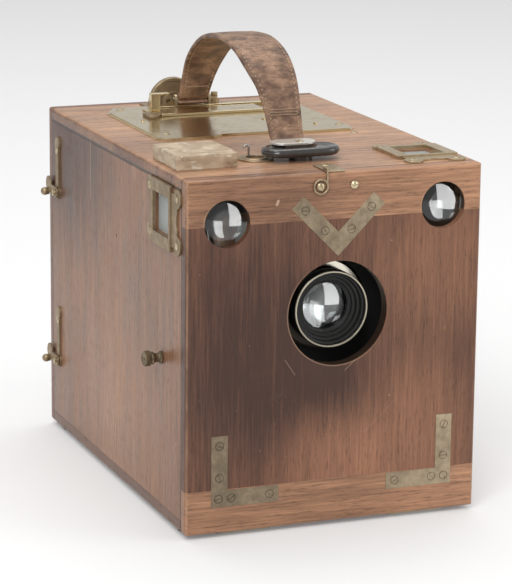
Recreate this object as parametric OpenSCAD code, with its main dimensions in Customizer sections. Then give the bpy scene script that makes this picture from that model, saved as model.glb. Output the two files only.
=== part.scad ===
// Tropical hand camera: a hardwood box camera with brass fittings.
// Millimetres. +Z is up, the lens looks along -Y, and the origin is the mouth
// of the tripod bush in the underside of the base board.

/* [Case] */
// Width over the sides
case_w = 210; // [200:1:235]
// Depth from the front panel to the rear door
case_d = 302; // [292:1:330]
// Height without the feet
case_h = 240; // [234:1:260]
// Thickness of the boards
board_t = 9; // [7:0.5:11]
// Radius of the rounded outer edges
edge_r = 3; // [1:0.5:5]
// Distance of the pin hole in the left side behind the panel's face
pin_hole_set = 143; // [60:1:200]
// Distance of the pin hole below the top
pin_hole_drop = 65; // [40:1:120]
// Radius of a foot
foot_r = 6; // [4:0.5:9]
// Height of a foot
foot_h = 3; // [2.6:0.2:6]
// Distance of a foot's centre from the sides
foot_inset = 9; // [8:1:30]
// Distance of a foot's centre from the front and back
foot_set = 23; // [20:1:40]

/* [Front panel] */
// Height of the cross-grained rail along the top
top_rail_h = 31.5; // [27:0.5:36]
// Height of the cross-grained rail along the bottom
bottom_rail_h = 30.5; // [24:0.5:40]
// Radius of the opening in front of the lens
aperture_r = 35.5; // [31:0.5:40]
// Radius of a finder lens
finder_lens_r = 15.8; // [12:0.2:17]
// Distance of a finder lens from the sides
finder_inset = 28.2; // [26:0.2:31]
// Distance of the left finder lens below the top
left_finder_drop = 30.2; // [28:0.2:33]
// Distance of the right finder lens below the top
right_finder_drop = 27.3; // [26:0.2:30]

/* [Brass on the front] */
// Thickness of the let-in brass straps
strap_brass_t = 1.2; // [0.8:0.1:2]
// Width of the let-in brass straps
strap_brass_w = 11.5; // [9:0.5:14]
// Length of each arm of the V-shaped strap, along its outer edge
v_arm_l = 47; // [40:1:52]
// Distance of the V-shaped strap's point below the top
v_point_drop = 56.6; // [54:0.2:58]
// Distance of the V-shaped strap's point to the right of the middle
v_x = 1.2; // [0:0.2:2.4]
// Length of a corner bracket's upright arm
bracket_up = 49; // [44:1:56]
// Length of a corner bracket's level arm
bracket_across = 48; // [40:1:56]
// Distance of a corner bracket from the sides
bracket_inset = 18; // [15:0.5:24]
// Distance of a corner bracket from the bottom
bracket_rise = 18.5; // [15:0.5:24]
// Radius of a wood screw's head
screw_head_r = 2.9; // [2.4:0.1:3.4]
// Radius of a wood screw's shank
screw_shank_r = 1.4; // [1:0.1:1.8]
// Length of a wood screw's shank below its head
screw_l = 5; // [3:0.5:6]

/* [Lens] */
// Distance of the lens axis below the top
lens_drop = 95.5; // [94:0.5:98]
// Distance of the lens axis to the right of the middle
lens_x = 1.8; // [0:0.2:3]
// Radius of the hood's front ring
hood_r = 26.3; // [23:0.1:28]
// Depth of the hood's front ring behind the panel's face
hood_set = 10.5; // [10:0.5:14]
// Length of the hood
hood_l = 12; // [9:0.5:14]
// Radius of the lens barrel
barrel_r = 20; // [18:0.5:21.5]
// Radius of the glass
glass_r = 16; // [12:0.5:17]
// Radius of the mounting flange
flange_r = 33; // [29:0.5:34]
// Thickness of the mounting flange
flange_t = 3; // [2:0.5:4]
// Width of the iris ring
iris_w = 5; // [4:0.5:7]
// Thickness of the lens board
lens_board_t = 7; // [5:0.5:9]
// Radius of the shutter's opening
shutter_hole_r = 9; // [6:0.5:9]
// Depth of the shutter case
shutter_d = 12; // [10:0.5:14]
// Lift of the shutter blade when it is set
shutter_lift = 36; // [30:1:36]

/* [Focusing] */
// Pitch of the rack and pinion teeth, as a module
tooth_module = 1; // [0.8:0.1:1.1]
// Teeth on the pinion
pinion_teeth = 10; // [8:1:11]
// Distance of the focusing knob's axis below the lens axis
knob_drop = 33; // [32.5:0.5:34]
// Depth of the focusing knob's axis behind the panel's face
knob_set = 48; // [46:0.5:50]
// Radius of the focusing knob's head
knob_r = 5.2; // [4:0.2:8]
// How far the focusing knob stands out of the side
knob_out = 13; // [10:0.5:18]
// Radius of the pinion's shaft
shaft_r = 2.5; // [2:0.1:3]

/* [Finder windows] */
// Length of a window frame along the case
frame_l = 66; // [60:0.5:70]
// Width of a window frame across its wings
frame_w = 44; // [40:0.5:46]
// Distance of a window frame's front edge behind the panel's face
frame_set = 8.5; // [7:0.5:12]
// Distance of a window's middle behind the frame's front edge
window_set = 36; // [32:0.5:38]
// Length of the raised plate round a window
bezel_l = 37; // [33:0.5:42]
// Opening of a window along the case
window_l = 31; // [26:0.5:32]
// Opening of a window across
window_w = 27; // [22:0.5:28]

/* [Top plate] */
// Width of the brass plate on the top
plate_w = 145; // [138:1:150]
// Depth of the brass plate on the top
plate_d = 131.5; // [126:0.5:134]
// Thickness of the brass plate on the top
plate_t = 1.6; // [1.2:0.1:2.4]
// Distance of the plate's left edge from the case's left side
plate_inset = 31.5; // [28:0.5:40]
// Distance of the plate's rear edge in front of the door's back
plate_rear_set = 31; // [24:1:34]
// Cant of the plate's front corners
plate_cant = 3.5; // [2.5:0.5:6]
// Depth of the recess in the plate's front edge
plate_recess = 6; // [3:0.5:8]
// Width of the changing slide across its travel
slide_d = 29; // [27:0.5:31]
// Length of the changing slide
slide_l = 86; // [80:1:90]
// Thickness of the changing slide
slide_t = 1.2; // [1:0.1:1.8]
// Distance of the slide's front rail in front of the door's back
slide_rear_set = 78.5; // [77:0.5:80]
// Width of a slide rail
rail_w = 2; // [1.6:0.1:3]
// Height of the upright finger-piece
finger_h = 14; // [11:0.5:18]
// Width of the upright finger-piece
finger_w = 7; // [6:0.2:9]
// Travel of the changing slide
slide_travel = 18; // [12:1:20]

/* [Wheel] */
// Radius of the setting wheel
wheel_r = 18.5; // [15:0.5:20]
// Thickness of the setting wheel
wheel_t = 5; // [4:0.5:6]
// Distance of the wheel's centre from the middle of the case
wheel_x = -15.6; // [-20:0.2:-12]
// Height of the wheel's axle over the top
wheel_rise = 2.5; // [2:0.1:3.5]
// Distance of the wheel's middle in front of the rear door's back
wheel_set = 23; // [21:0.5:25]

/* [Handle] */
// Width of the leather handle
handle_w = 23; // [18:0.5:28]
// How far the handle's grip swells beyond the strap's left edge
handle_swell = 13.5; // [8:0.5:15]
// Thickness of the leather handle
handle_t = 3; // [2.6:0.2:3.6]
// Distance of the handle's middle from the middle of the case
handle_x = -5; // [-8:0.5:0]
// Rise of the handle's crown over the top
handle_rise = 69.5; // [58:1:85]
// Distance of the front fitting behind the panel's face
handle_front_set = 48; // [46:1:52]
// Length of the dark oval ring under the handle's front end
ring_l = 55; // [50:1:58]
// Depth of the dark oval ring
ring_d = 25; // [24:1:27]
// Thickness of the dark oval ring
ring_t = 6; // [5.4:0.2:7]
// Length of the pale washer on the handle's front end
washer_l = 31.5; // [28:0.5:34]
// Depth of the pale washer
washer_d = 17; // [16:0.5:19]

/* [Corner block] */
// Width of the pale block on the left front corner
block_w = 43; // [36:1:43]
// Depth of the pale block
block_d = 48; // [40:1:52]
// Height of the pale block
block_h = 10; // [6:0.5:14]
// Distance of the pale block from the left side
block_inset = 5; // [4:0.5:10]
// Distance of the pale block behind the panel's face
block_set = 33; // [26:1:40]

/* [Plates] */
// Width of the magazine frame's posts beside the sheaths
magazine_post_w = 10.5; // [9:0.5:16]
// Height of a plate sheath
sheath_h = 124; // [110:1:124]
// Thickness of a plate sheath
sheath_t = 2.5; // [2:0.1:2.8]
// Number of sheaths behind the front one
sheath_count = 11; // [4:1:11]
// Distance of the front sheath behind the panel's face
focal_set = 197.5; // [196:0.5:199]

/* [Latches and hinges] */
// Height of the upper latch's pivot below the top
upper_latch_drop = 60; // [56:1:64]
// Height of the lower latch's pivot
lower_latch_z = 52; // [45:1:56]
// Radius of a latch's ball
ball_r = 3; // [2.4:0.1:3.4]
// Radius of the door hinge's knuckle
knuckle_r = 2.2; // [2:0.1:2.6]
// Radius of the door hinge's pin
hinge_pin_r = 1.1; // [0.9:0.1:1.2]
// Length of a door hinge
door_hinge_l = 42; // [30:1:50]
// Length of a front hinge
front_hinge_l = 36; // [30:1:50]
// Radius of the front hinge's knuckle
front_knuckle_r = 1.3; // [1.2:0.05:1.3]

/* [Tripod bush] */
// Bore of the tripod bush
bush_bore_r = 4.2; // [3:0.1:4.8]
// Radius of the bush's flange
bush_flange_r = 14; // [11:0.5:18]

/* [Hidden] */
$fn = 64;
fit = 0.05;          // running clearance of a shaft or pin, on the radius
gap = 0.3;           // clearance between pieces that pass each other
tiny = 0.01;
front_y = -case_d / 2;
rear_y = case_d / 2;
box_front = front_y + board_t;
box_rear = rear_y - board_t;
side_x = case_w / 2;
inner_x = side_x - board_t;
inner_top = case_h - board_t;
left_finder_z = case_h - left_finder_drop;
right_finder_z = case_h - right_finder_drop;
brass_proud = 0.2;   // what a let-in strap stands out of the wood
screw_seat = 1;      // thickness of a wood screw's head
rail_top = case_h - top_rail_h;
v_point_z = case_h - v_point_drop;

// Lens: distances behind the panel's face
lens_z = case_h - lens_drop;
glass_set = hood_set + hood_l;
flange_y = front_y + glass_set + iris_w + 0.2;
lens_board_y = flange_y + flange_t;
shutter_y = lens_board_y + lens_board_t;
runner_w = 10;
lens_board_half_w = inner_x - runner_w - 8;
lens_board_low = lens_z - 74.5;
lens_board_high = lens_z + 43.5;
hood_wall = 2;
barrel_bore_r = glass_r + 0.1;
shutter_half_w = 44;
shutter_low = lens_z - 48.5;
shutter_wall = 2;
blade_half_w = shutter_half_w - shutter_wall - 0.5;
blade_t = 1.2;
blade_y = shutter_y + shutter_wall + 3;
blade_low = shutter_low + shutter_wall + 0.5;
blade_high = lens_board_high + 2;
blade_hole_z = lens_z - shutter_lift / 2;
wire_x = -39;
wire_y = front_y + 61.2;
wire_r = 0.7;
escutcheon_r = 12.5;
escutcheon_hole_r = 6.5;
escutcheon_t = 1.2;
escutcheon_lip = 0.5;
escutcheon_x = wire_x + 3.2;
escutcheon_y = wire_y - 4;

// Focusing: the rack lies over the pinion
pitch_r = tooth_module * pinion_teeth / 2;
tooth_pitch = PI * tooth_module;
tooth_out = 0.8 * tooth_module;
tooth_in = 1.1 * tooth_module;
knob_y = front_y + knob_set;
knob_z = lens_z - knob_drop;
rack_pitch_z = knob_z + pitch_r;
rack_x0 = runner_w + 2.5 - inner_x;
rack_w = 4.5;
runner_h = 16;
runner_z = knob_z + 6.5;
runner_y0 = front_y + board_t + 4;
runner_l = 66;
runner_y1 = runner_y0 + runner_l;
groove_w = 5;
groove_h = 8;
groove_z = runner_z + (runner_h - groove_h) / 2;
runner_in = inner_x - runner_w;
bar_l = 42;
rack_l = 38;

// Finder windows
finder_x = side_x - finder_inset;
frame_t = 1.4;
bezel_t = 1;
frame_y0 = front_y + frame_set;
window_y = frame_y0 + window_set;
wing_r = 6.5;
scallop_r = 10.5;
finder_half = finder_lens_r + 3.4;
finder_wall = 1.6;
finder_y1 = window_y + 19;
screen_t = 1.5;

// Top plate and changing slide
plate_x0 = plate_inset - side_x;
plate_y0 = rear_y - plate_rear_set - plate_d;
plate_top = case_h + plate_t;
bed_t = plate_t / 2;
bed_out = 2;
plate_studs = [[11.3, 71.5], [125.5, 25.5], [97, 54]];
plate_ear = 39;
plate_ogee = 8;
plate_rear_cant = [9, 18];
rail_y0 = rear_y - slide_rear_set;
slide_y0 = rail_y0 + rail_w;
slide_x0 = -48;
rail_x0 = slide_x0 + 4.5;
rail_l = slide_l + slide_travel + 4;
rail_lip = 1.2;
rail_lip_t = 0.6;
slide_top = plate_top + 0.1 + slide_t;
finger_x = slide_x0;
finger_t = 5;
finger_y = slide_y0 + 8.5;
leg_w = 8;
leg_t = 3;
leg_x = -4;
leg_y = slide_y0 + 5;

// Magazine of sheaths
sheath_play = 1.5;
sheath_w = 2 * (inner_x - magazine_post_w - sheath_play);
plate_z0 = lens_z - sheath_h / 2;
focal_y = front_y + focal_set;
sheath_pitch = sheath_t + 0.3;
stack_end = focal_y + sheath_pitch * (sheath_count + 1);
magazine_t = 8;
shelf_t = 8;
pusher_t = 3;
pusher_y = stack_end + 0.6;
pusher_inset = 4;
spring_r = 9;
spring_wall = 1.4;
spring_x = sheath_w / 2 - 39;
catch_half_w = sheath_w / 2 - 34;
catch_t = 2.5;
catch_h = 8;
catch_arm_t = 3;
catch_z = plate_z0 + sheath_h + 0.8;
catch_room = 10;
catch_y = focal_y - 4;

// Wheel and rear bracket
wheel_y = rear_y - wheel_set;
wheel_z = case_h + wheel_rise;
axle_r = 1.5;
bracket_t = 1.5;
lug_t = 2;
lug_r = 3.6;
axle_l = wheel_t + 2 * lug_t + 4.8;
strap_pin_r = 1.4;
eye_x = handle_x - 17.6;
eye_r = 4.2;
eye_z = case_h + 5;
nut_x = handle_x + 18.5;
handle_pin_y = wheel_y - 12;
handle_pin_z = case_h + bracket_t + strap_pin_r + handle_t + 2 * gap;

// Handle
handle_front_y = front_y + handle_front_set;
ring_tube = ring_t / 2;
ring_rise = 3.2;
pad_top = case_h + ring_rise + ring_t;
washer_t = 1.5;
washer_x = handle_x - 3.3;
washer_y = handle_front_y + 10.5;
clamp_y = handle_front_y + 6.5;
handle_front_z = pad_top - handle_t / 2;
handle_bend_y = washer_y + washer_d / 2 + 10.5;
handle_left = handle_x - handle_w / 2;

// Latches and hinges
latch_t = 1.3;
latch_y = box_rear - 16;
latch_plate_t = 1.5;
upper_latch_z = case_h - upper_latch_drop;
door_axis_x = side_x + knuckle_r - 0.4;
door_axis_y = box_rear;
leaf_t = 1.2;
door_hinge_set = 50;
door_hinge_z = [door_hinge_set, case_h - door_hinge_set];
front_axis_z = -front_knuckle_r - 0.1;
front_pin_r = 0.6;
front_hinge_inset = 43;
front_hinge_x = [front_hinge_inset - side_x, side_x - front_hinge_inset];
front_leaf_l = 16;
door_leaf_l = 14;
bush_flange_t = 2;

// Placing helpers: local +Z points out of the named face
module on_front(x, z, out = 0) translate([x, front_y - out, z]) rotate([90, 0, 0]) children();
module on_left(y, z, out = 0) translate([-side_x - out, y, z]) rotate([0, -90, 0]) children();
module on_top(x, y, out = 0) translate([x, y, case_h + out]) children();
module along_y(x, y, z, r, l) translate([x, y, z]) rotate([-90, 0, 0]) cylinder(h = l, r = r);
module along_x(x, y, z, r, l) translate([x, y, z]) rotate([0, 90, 0]) cylinder(h = l, r = r);
module slab(x0, x1, y0, y1, z0, z1) translate([x0, y0, z0]) cube([x1 - x0, y1 - y0, z1 - z0]);

// A rectangle with round corners, from its lowest corner
module rounded_rect(w, h, r) {
    translate([r, 0]) square([w - 2 * r, h]);
    translate([0, r]) square([w, h - 2 * r]);
    for (x = [r, w - r], y = [r, h - r]) translate([x, y]) circle(r);
}

// A wood screw: a flush slotted head with a plain shank, head uppermost at z = 0
module screw(l = screw_l) {
    difference() {
        union() {
            translate([0, 0, -screw_seat]) cylinder(h = screw_seat + brass_proud, r = screw_head_r);
            translate([0, 0, -screw_seat - l]) cylinder(h = l + tiny, r = screw_shank_r);
        }
        translate([-screw_head_r, -0.35, -0.4]) cube([2 * screw_head_r, 0.7, 1]);
    }
}
// The seat and hole of such a screw
module screw_hole(l = screw_l) {
    translate([0, 0, -screw_seat]) cylinder(h = screw_seat + 2, r = screw_head_r + fit);
    translate([0, 0, -screw_seat - l - 0.2]) cylinder(h = l + 1, r = screw_shank_r + fit);
}

// The block that the whole outside is cut from, with rounded edges
module case_envelope() {
    intersection() {
        translate([-side_x, front_y, 0])
            linear_extrude(case_h) rounded_rect(case_w, case_d, edge_r);
        translate([-side_x, rear_y, 0]) rotate([90, 0, 0])
            linear_extrude(case_d) rounded_rect(case_w, case_h, edge_r);
        translate([-side_x, front_y, 0]) rotate([90, 0, 90])
            linear_extrude(case_w) rounded_rect(case_d, case_h, edge_r);
    }
}

// Where the screws of the case go: [x, y] on the top, [y, z] on the left side
plate_screws = [[plate_x0 + 10.2, plate_y0 + 18.5], [plate_x0 + plate_w - 4.5, plate_y0 + 17],
    [plate_x0 + 11.8, plate_y0 + plate_d - 7.6], [plate_x0 + plate_w - 11.8, plate_y0 + plate_d - 7.6]];
wood_screw = [68, -20];
window_screws = [for (y = [wing_r, frame_l - wing_r], s = [-1, 1])
    [frame_y0 + y, s * (frame_w / 2 - wing_r)]];
latch_screw_rise = 31;
latch_screws = [for (z = [upper_latch_z, lower_latch_z]) [latch_y, z + latch_screw_rise]];

module top_screw_holes() {
    for (p = plate_screws) on_top(p[0], p[1], plate_t) screw_hole();
    for (p = window_screws) on_top(finder_x + p[1], p[0], frame_t) screw_hole();
    on_top(wood_screw[0], wood_screw[1]) screw_hole(3);
    translate([catch_x, tab_screw_y, tab_z + tab_t]) screw_hole(3);
}
module left_screw_holes() {
    for (p = window_screws) on_left(p[0], left_finder_z + p[1], frame_t) screw_hole();
    for (p = latch_screws) on_left(p[0], p[1], latch_plate_t) screw_hole(3);
    for (z = [upper_latch_z, lower_latch_z]) on_left(latch_y, z)
        translate([0, 0, -stud_l]) cylinder(h = stud_l + 4, r = screw_shank_r + fit);
}
stud_l = 6;
module case_screws() color("goldenrod") {
    for (p = plate_screws) on_top(p[0], p[1], plate_t) screw();
    on_top(wood_screw[0], wood_screw[1]) screw(3);
    for (p = window_screws) {
        on_top(finder_x + p[1], p[0], frame_t) screw();
        on_left(p[0], left_finder_z + p[1], frame_t) screw();
    }
    translate([catch_x, tab_screw_y, tab_z + tab_t]) screw(3);
    for (p = latch_screws) on_left(p[0], p[1], latch_plate_t) screw(3);
    for (z = [upper_latch_z, lower_latch_z]) latch_pivot(z);
    translate([handle_x, clamp_y, pad_top + washer_t]) screw(ring_t + ring_rise + 3.5);
}
// The stud that a latch hook turns on, with a round head over the hook
module latch_pivot(z) on_left(latch_y, z) {
    translate([0, 0, -stud_l])
        cylinder(h = stud_l + latch_plate_t + gap * 2 + latch_t, r = screw_shank_r);
    translate([0, 0, latch_plate_t + gap * 2 + latch_t]) cylinder(h = 1.4, r = 2.6);
}

// Boards of the case
module base_board() color("saddlebrown") difference() {
    intersection() {
        slab(-side_x, side_x, box_front, box_rear, 0, board_t);
        case_envelope();
    }
    translate([0, 0, -1]) cylinder(h = bush_flange_t + 1, r = bush_flange_r + fit);
    translate([0, 0, -1]) cylinder(h = board_t + 2, r = bush_bore_r + 3 + fit);
    for (x = front_hinge_x)
        slab(x - front_hinge_l / 2, x + front_hinge_l / 2, box_front - 1, box_front + front_leaf_l, -1, leaf_t);
}
module top_board() color("saddlebrown") difference() {
    intersection() {
        slab(-side_x, side_x, box_front, box_rear, inner_top, case_h);
        case_envelope();
    }
    top_screw_holes();
    translate([escutcheon_x, escutcheon_y, inner_top - 1])
        cylinder(h = board_t + 2, r = escutcheon_hole_r);
    slab(finder_x - window_w / 2, finder_x + window_w / 2,
        window_y - window_l / 2, window_y + window_l / 2, inner_top - 1, case_h + 1);
    slide_slot();
    wheel_slot();
    catch_pocket();
    on_top(handle_x, clamp_y) translate([0, 0, -4]) cylinder(h = 5, r = screw_shank_r + fit);
}
module slide_slot()
    slab(leg_x - gap, leg_x + leg_w + slide_travel + gap, leg_y - gap, leg_y + leg_t + gap,
        inner_top - 1, plate_top + 1);
module wheel_slot()
    slab(wheel_x - wheel_r - 0.6, wheel_x + wheel_r + 0.6, wheel_y - wheel_t / 2 - gap * 2,
        wheel_y + wheel_t / 2 + gap * 2, inner_top - 1, case_h + bracket_t + 1);
module side_board(s) intersection() {
    slab(s > 0 ? inner_x : -side_x, s > 0 ? side_x : -inner_x, box_front, box_rear, board_t, inner_top);
    case_envelope();
}
module left_side() color("saddlebrown") difference() {
    side_board(-1);
    left_screw_holes();
    slab(-side_x - 1, -inner_x + 1, window_y - window_l / 2, window_y + window_l / 2,
        left_finder_z - window_w / 2, left_finder_z + window_w / 2);
    along_x(-side_x - 1, knob_y, knob_z, shaft_r + 1.5 + fit, board_t + 2);
    along_x(-side_x - 1, front_y + pin_hole_set, case_h - pin_hole_drop, 0.9, 4);
}
module right_side() color("saddlebrown") difference() {
    side_board(1);
    along_x(inner_x - 1, knob_y, knob_z, release_r + fit, board_t + 2);
    for (z = door_hinge_z) slab(side_x - leaf_t, side_x + 1, box_rear - door_leaf_l, box_rear + 1,
        z - door_hinge_l / 2, z + door_hinge_l / 2);
}
module feet() color("dimgray")
    for (x = [-1, 1], y = [-1, 1])
        translate([x * (side_x - foot_inset), y * (rear_y - foot_set), -foot_h])
            cylinder(h = foot_h, r = foot_r);
module tripod_bush() color("goldenrod") difference() {
    union() {
        cylinder(h = bush_flange_t, r = bush_flange_r);
        cylinder(h = board_t + 2, r = bush_bore_r + 3);
    }
    translate([0, 0, -1]) cylinder(h = board_t + 1, r = bush_bore_r);
}

// Brass plate on the top, with the changing slide's rails
// The plate's front edge stands back between two ears, and its rear corners taper
module plate_outline(grow) translate([plate_x0, plate_y0]) polygon([
    [-grow, 1.6 * plate_cant], [plate_cant, -grow], [plate_ear, -grow],
    [plate_ear + plate_ogee, plate_recess - grow], [plate_w - plate_ear - plate_ogee, plate_recess - grow],
    [plate_w - plate_ear, -grow], [plate_w - plate_cant, -grow], [plate_w + grow, 1.6 * plate_cant],
    [plate_w + grow, plate_d - plate_rear_cant[1]], [plate_w - plate_rear_cant[0], plate_d + grow],
    [plate_rear_cant[0], plate_d + grow], [-grow, plate_d - plate_rear_cant[1]]]);
module top_plate() color("goldenrod") difference() {
    union() {
        translate([0, 0, case_h]) linear_extrude(bed_t) plate_outline(bed_out);
        translate([0, 0, case_h]) linear_extrude(plate_t) plate_outline(0);
        for (p = plate_studs) translate([plate_x0 + p[0], plate_y0 + p[1], case_h])
            cylinder(h = plate_t + 0.8, r = 1.5);
    }
    for (p = plate_screws) on_top(p[0], p[1], plate_t) screw_hole();
    slide_slot();
    bracket_outline(gap);
}
module slide_rail(y0, inward) {
    slab(rail_x0, rail_x0 + rail_l, y0, y0 + rail_w, plate_top, slide_top + 0.1);
    lip_y = inward > 0 ? y0 : y0 - rail_lip;
    slab(rail_x0, rail_x0 + rail_l, lip_y, lip_y + rail_w + rail_lip, slide_top + 0.1,
        slide_top + 0.1 + rail_lip_t);
}
module slide_rails() color("goldenrod") {
    slide_rail(rail_y0, 1);
    slide_rail(slide_y0 + slide_d, -1);
}
// The stop stands in a notch of the slide, before the finger-piece, with a slot in its top
stop_x0 = slide_x0 - 6.8;
stop_x1 = rail_x0 - 0.7;
stop_y0 = rail_y0 - 6.5;
stop_y1 = finger_y - gap;
stop_t = 2.2;
module stop_block() color("goldenrod") difference() {
    translate([0, 0, plate_top]) linear_extrude(stop_t)
        polygon([[stop_x0, stop_y0], [stop_x0 + 3, stop_y0], [stop_x1, stop_y0 + 7],
            [stop_x1, stop_y1], [stop_x0, stop_y1]]);
    slab(stop_x1 - 4.4, stop_x1 - 1.8, stop_y0 + 8, stop_y1 - 2.5, plate_top + 1, plate_top + stop_t + 1);
}
// The slide's leg reaches down into the box, and its arm carries the bar that holds the sheaths
module changing_slide() color("goldenrod") {
    slab(rail_x0, slide_x0 + slide_l, slide_y0 + fit, slide_y0 + slide_d - fit, plate_top + fit, slide_top);
    slab(slide_x0, rail_x0 + 1, finger_y, slide_y0 + slide_d - fit, plate_top + fit, slide_top);
    slab(leg_x, leg_x + leg_w, leg_y, leg_y + leg_t, catch_z, plate_top + 1);
    slab(leg_x, leg_x + leg_w, catch_y, leg_y + 1, catch_z, catch_z + catch_arm_t);
    slab(-catch_half_w, catch_half_w, catch_y, catch_y + catch_t, catch_z, catch_z + catch_h);
}
module finger_piece() color("goldenrod") {
    slab(finger_x, finger_x + finger_w, finger_y, finger_y + finger_t, slide_top, slide_top + finger_h);
    slab(finger_x, finger_x + finger_w, finger_y, finger_y + finger_w, slide_top, slide_top + 1.5);
    slab(finger_x, finger_x + 2 * finger_w, finger_y, finger_y + finger_t,
        slide_top + finger_h - 1.2, slide_top + finger_h);
}

// Pale block on the left front corner, and the wire's escutcheon
module corner_block() color("wheat") {
    x0 = -side_x + block_inset;
    y0 = front_y + block_set;
    hull() {
        slab(x0, x0 + block_w, y0, y0 + block_d, case_h, case_h + 1);
        slab(x0 + 1.2, x0 + block_w - 1, y0 + 0.6, y0 + block_d - 1, case_h + block_h - 1, case_h + block_h);
    }
}
module cord_escutcheon() color("goldenrod") translate([escutcheon_x, escutcheon_y, case_h]) difference() {
    union() {
        cylinder(h = escutcheon_t, r = escutcheon_r);
        cylinder(h = escutcheon_t + escutcheon_lip, r = escutcheon_hole_r + 2.4);
    }
    translate([0, 0, -1]) cylinder(h = 5, r = escutcheon_hole_r);
}

// Finders: a box open to the lens and to its window, with a mirror and a screen
module finder_box(s, z) {
    cx = s * finder_x;
    low_x = s < 0 ? -inner_x : cx - finder_half;
    high_x = s < 0 ? cx + finder_half : min(inner_x, cx + finder_half);
    low_z = z - finder_half;
    high_z = min(z + finder_half, inner_top);
    difference() {
        slab(low_x, high_x, box_front, finder_y1, low_z, high_z);
        slab(s < 0 ? low_x - 1 : low_x + finder_wall, high_x - finder_wall, box_front - 1,
            finder_y1 - finder_wall, low_z + finder_wall, s < 0 ? high_z - finder_wall : high_z + 1);
    }
}
module finder_boxes() color("dimgray") {
    finder_box(-1, left_finder_z);
    finder_box(1, right_finder_z);
}
mirror_half = finder_half - finder_wall;
mirror_run = 38;
mirror_t = 1.5;
module finder_mirrors() color("silver") {
    // left: turns the light out to the left side
    translate([-finder_x, window_y, left_finder_z - mirror_half]) rotate([0, 0, -45])
        translate([-mirror_run / 2, 0, 0]) cube([mirror_run, mirror_t, 2 * mirror_half]);
    // right: turns the light up to the top
    translate([finder_x - mirror_half, window_y, right_finder_z]) rotate([-45, 0, 0])
        translate([0, 0, -mirror_run / 2]) cube([2 * mirror_half, mirror_t, mirror_run]);
}
module finder_screens() color("whitesmoke") {
    slab(-side_x + 2, -side_x + 2 + screen_t, window_y - window_l / 2 + fit, window_y + window_l / 2 - fit,
        left_finder_z - window_w / 2 + fit, left_finder_z + window_w / 2 - fit);
    slab(finder_x - window_w / 2 + fit, finder_x + window_w / 2 - fit, window_y - window_l / 2 + fit,
        window_y + window_l / 2 - fit, case_h - 2 - screen_t, case_h - 2);
}
// A window frame lying flat: x along the case, y across, with winged ends and a bezel
module window_frame() difference() {
    union() {
        linear_extrude(frame_t) difference() {
            union() {
                translate([wing_r, -frame_w / 2 + 4]) square([frame_l - 2 * wing_r, frame_w - 8]);
                for (x = [wing_r, frame_l - wing_r], s = [-1, 1])
                    translate([x, s * (frame_w / 2 - wing_r)]) circle(wing_r);
            }
            for (x = [-2.5, frame_l + 2.5]) translate([x, 0]) circle(r = scallop_r);
        }
        translate([window_set - bezel_l / 2, -frame_w / 2, 0]) cube([bezel_l, frame_w, frame_t + bezel_t]);
    }
    translate([window_set - window_l / 2, -window_w / 2, -1]) cube([window_l, window_w, 5]);
    for (x = [wing_r, frame_l - wing_r], s = [-1, 1])
        translate([x, s * (frame_w / 2 - wing_r), frame_t]) screw_hole();
}
module finder_window_frames() color("goldenrod") {
    on_left(frame_y0, left_finder_z) rotate(90) window_frame();
    on_top(finder_x, frame_y0) rotate(90) window_frame();
}
module finder_lens() intersection() {
    cylinder(h = 6, r = finder_lens_r);
    translate([0, 0, 6 - 42]) sphere(r = 42, $fn = 96);
}
module finder_lenses() color("lightblue") {
    on_front(-finder_x, left_finder_z) translate([0, 0, -6.4]) finder_lens();
    on_front(finder_x, right_finder_z) translate([0, 0, -6.4]) finder_lens();
}

// Front panel: an upright-grained board between two cross-grained rails
module finder_bores() {
    along_y(-finder_x, front_y - 1, left_finder_z, finder_lens_r + fit, board_t + 2);
    along_y(finder_x, front_y - 1, right_finder_z, finder_lens_r + fit, board_t + 2);
}
module front_cuts() {
    finder_bores();
    along_y(lens_x, front_y - 1, lens_z, aperture_r, board_t + 2);
    on_front(0, 0) translate([0, 0, -strap_brass_t]) {
        linear_extrude(5) v_outline();
        linear_extrude(5) bracket_outlines();
    }
    for (p = front_screw_places) on_front(p[0], p[1]) screw_hole(p[2]);
    for (p = hook_screw_places) on_front(p[0], p[1], hook_head_out) screw_hole();
    front_catch_room();
}
module front_board(z0, z1) difference() {
    intersection() {
        slab(-side_x, side_x, front_y, box_front, z0, z1);
        case_envelope();
    }
    front_cuts();
}
module front_panel() color("saddlebrown") front_board(bottom_rail_h, rail_top);
module front_top_rail() color("sienna") front_board(rail_top, case_h);
module front_bottom_rail() color("sienna") difference() {
    front_board(0, bottom_rail_h);
    for (x = front_hinge_x)
        slab(x - front_hinge_l / 2, x + front_hinge_l / 2, front_y + 1.5, box_front + 1, -1, leaf_t);
}
v_angle = 45;
v_out = [cos(v_angle), sin(v_angle)] * v_arm_l;
v_across = [-sin(v_angle), cos(v_angle)] * strap_brass_w;
v_inner = [0, strap_brass_w / cos(v_angle)];
module v_outline() translate([v_x, v_point_z]) polygon([[0, 0], v_out, v_out + v_across, v_inner,
    [-v_out[0] - v_across[0], v_out[1] + v_across[1]], [-v_out[0], v_out[1]]]);
module bracket_outline_2d() {
    square([strap_brass_w, bracket_up]);
    square([bracket_across, strap_brass_w]);
}
module bracket_outlines() {
    translate([bracket_inset - side_x, bracket_rise]) bracket_outline_2d();
    translate([side_x - bracket_inset, bracket_rise]) mirror([1, 0]) bracket_outline_2d();
}
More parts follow.
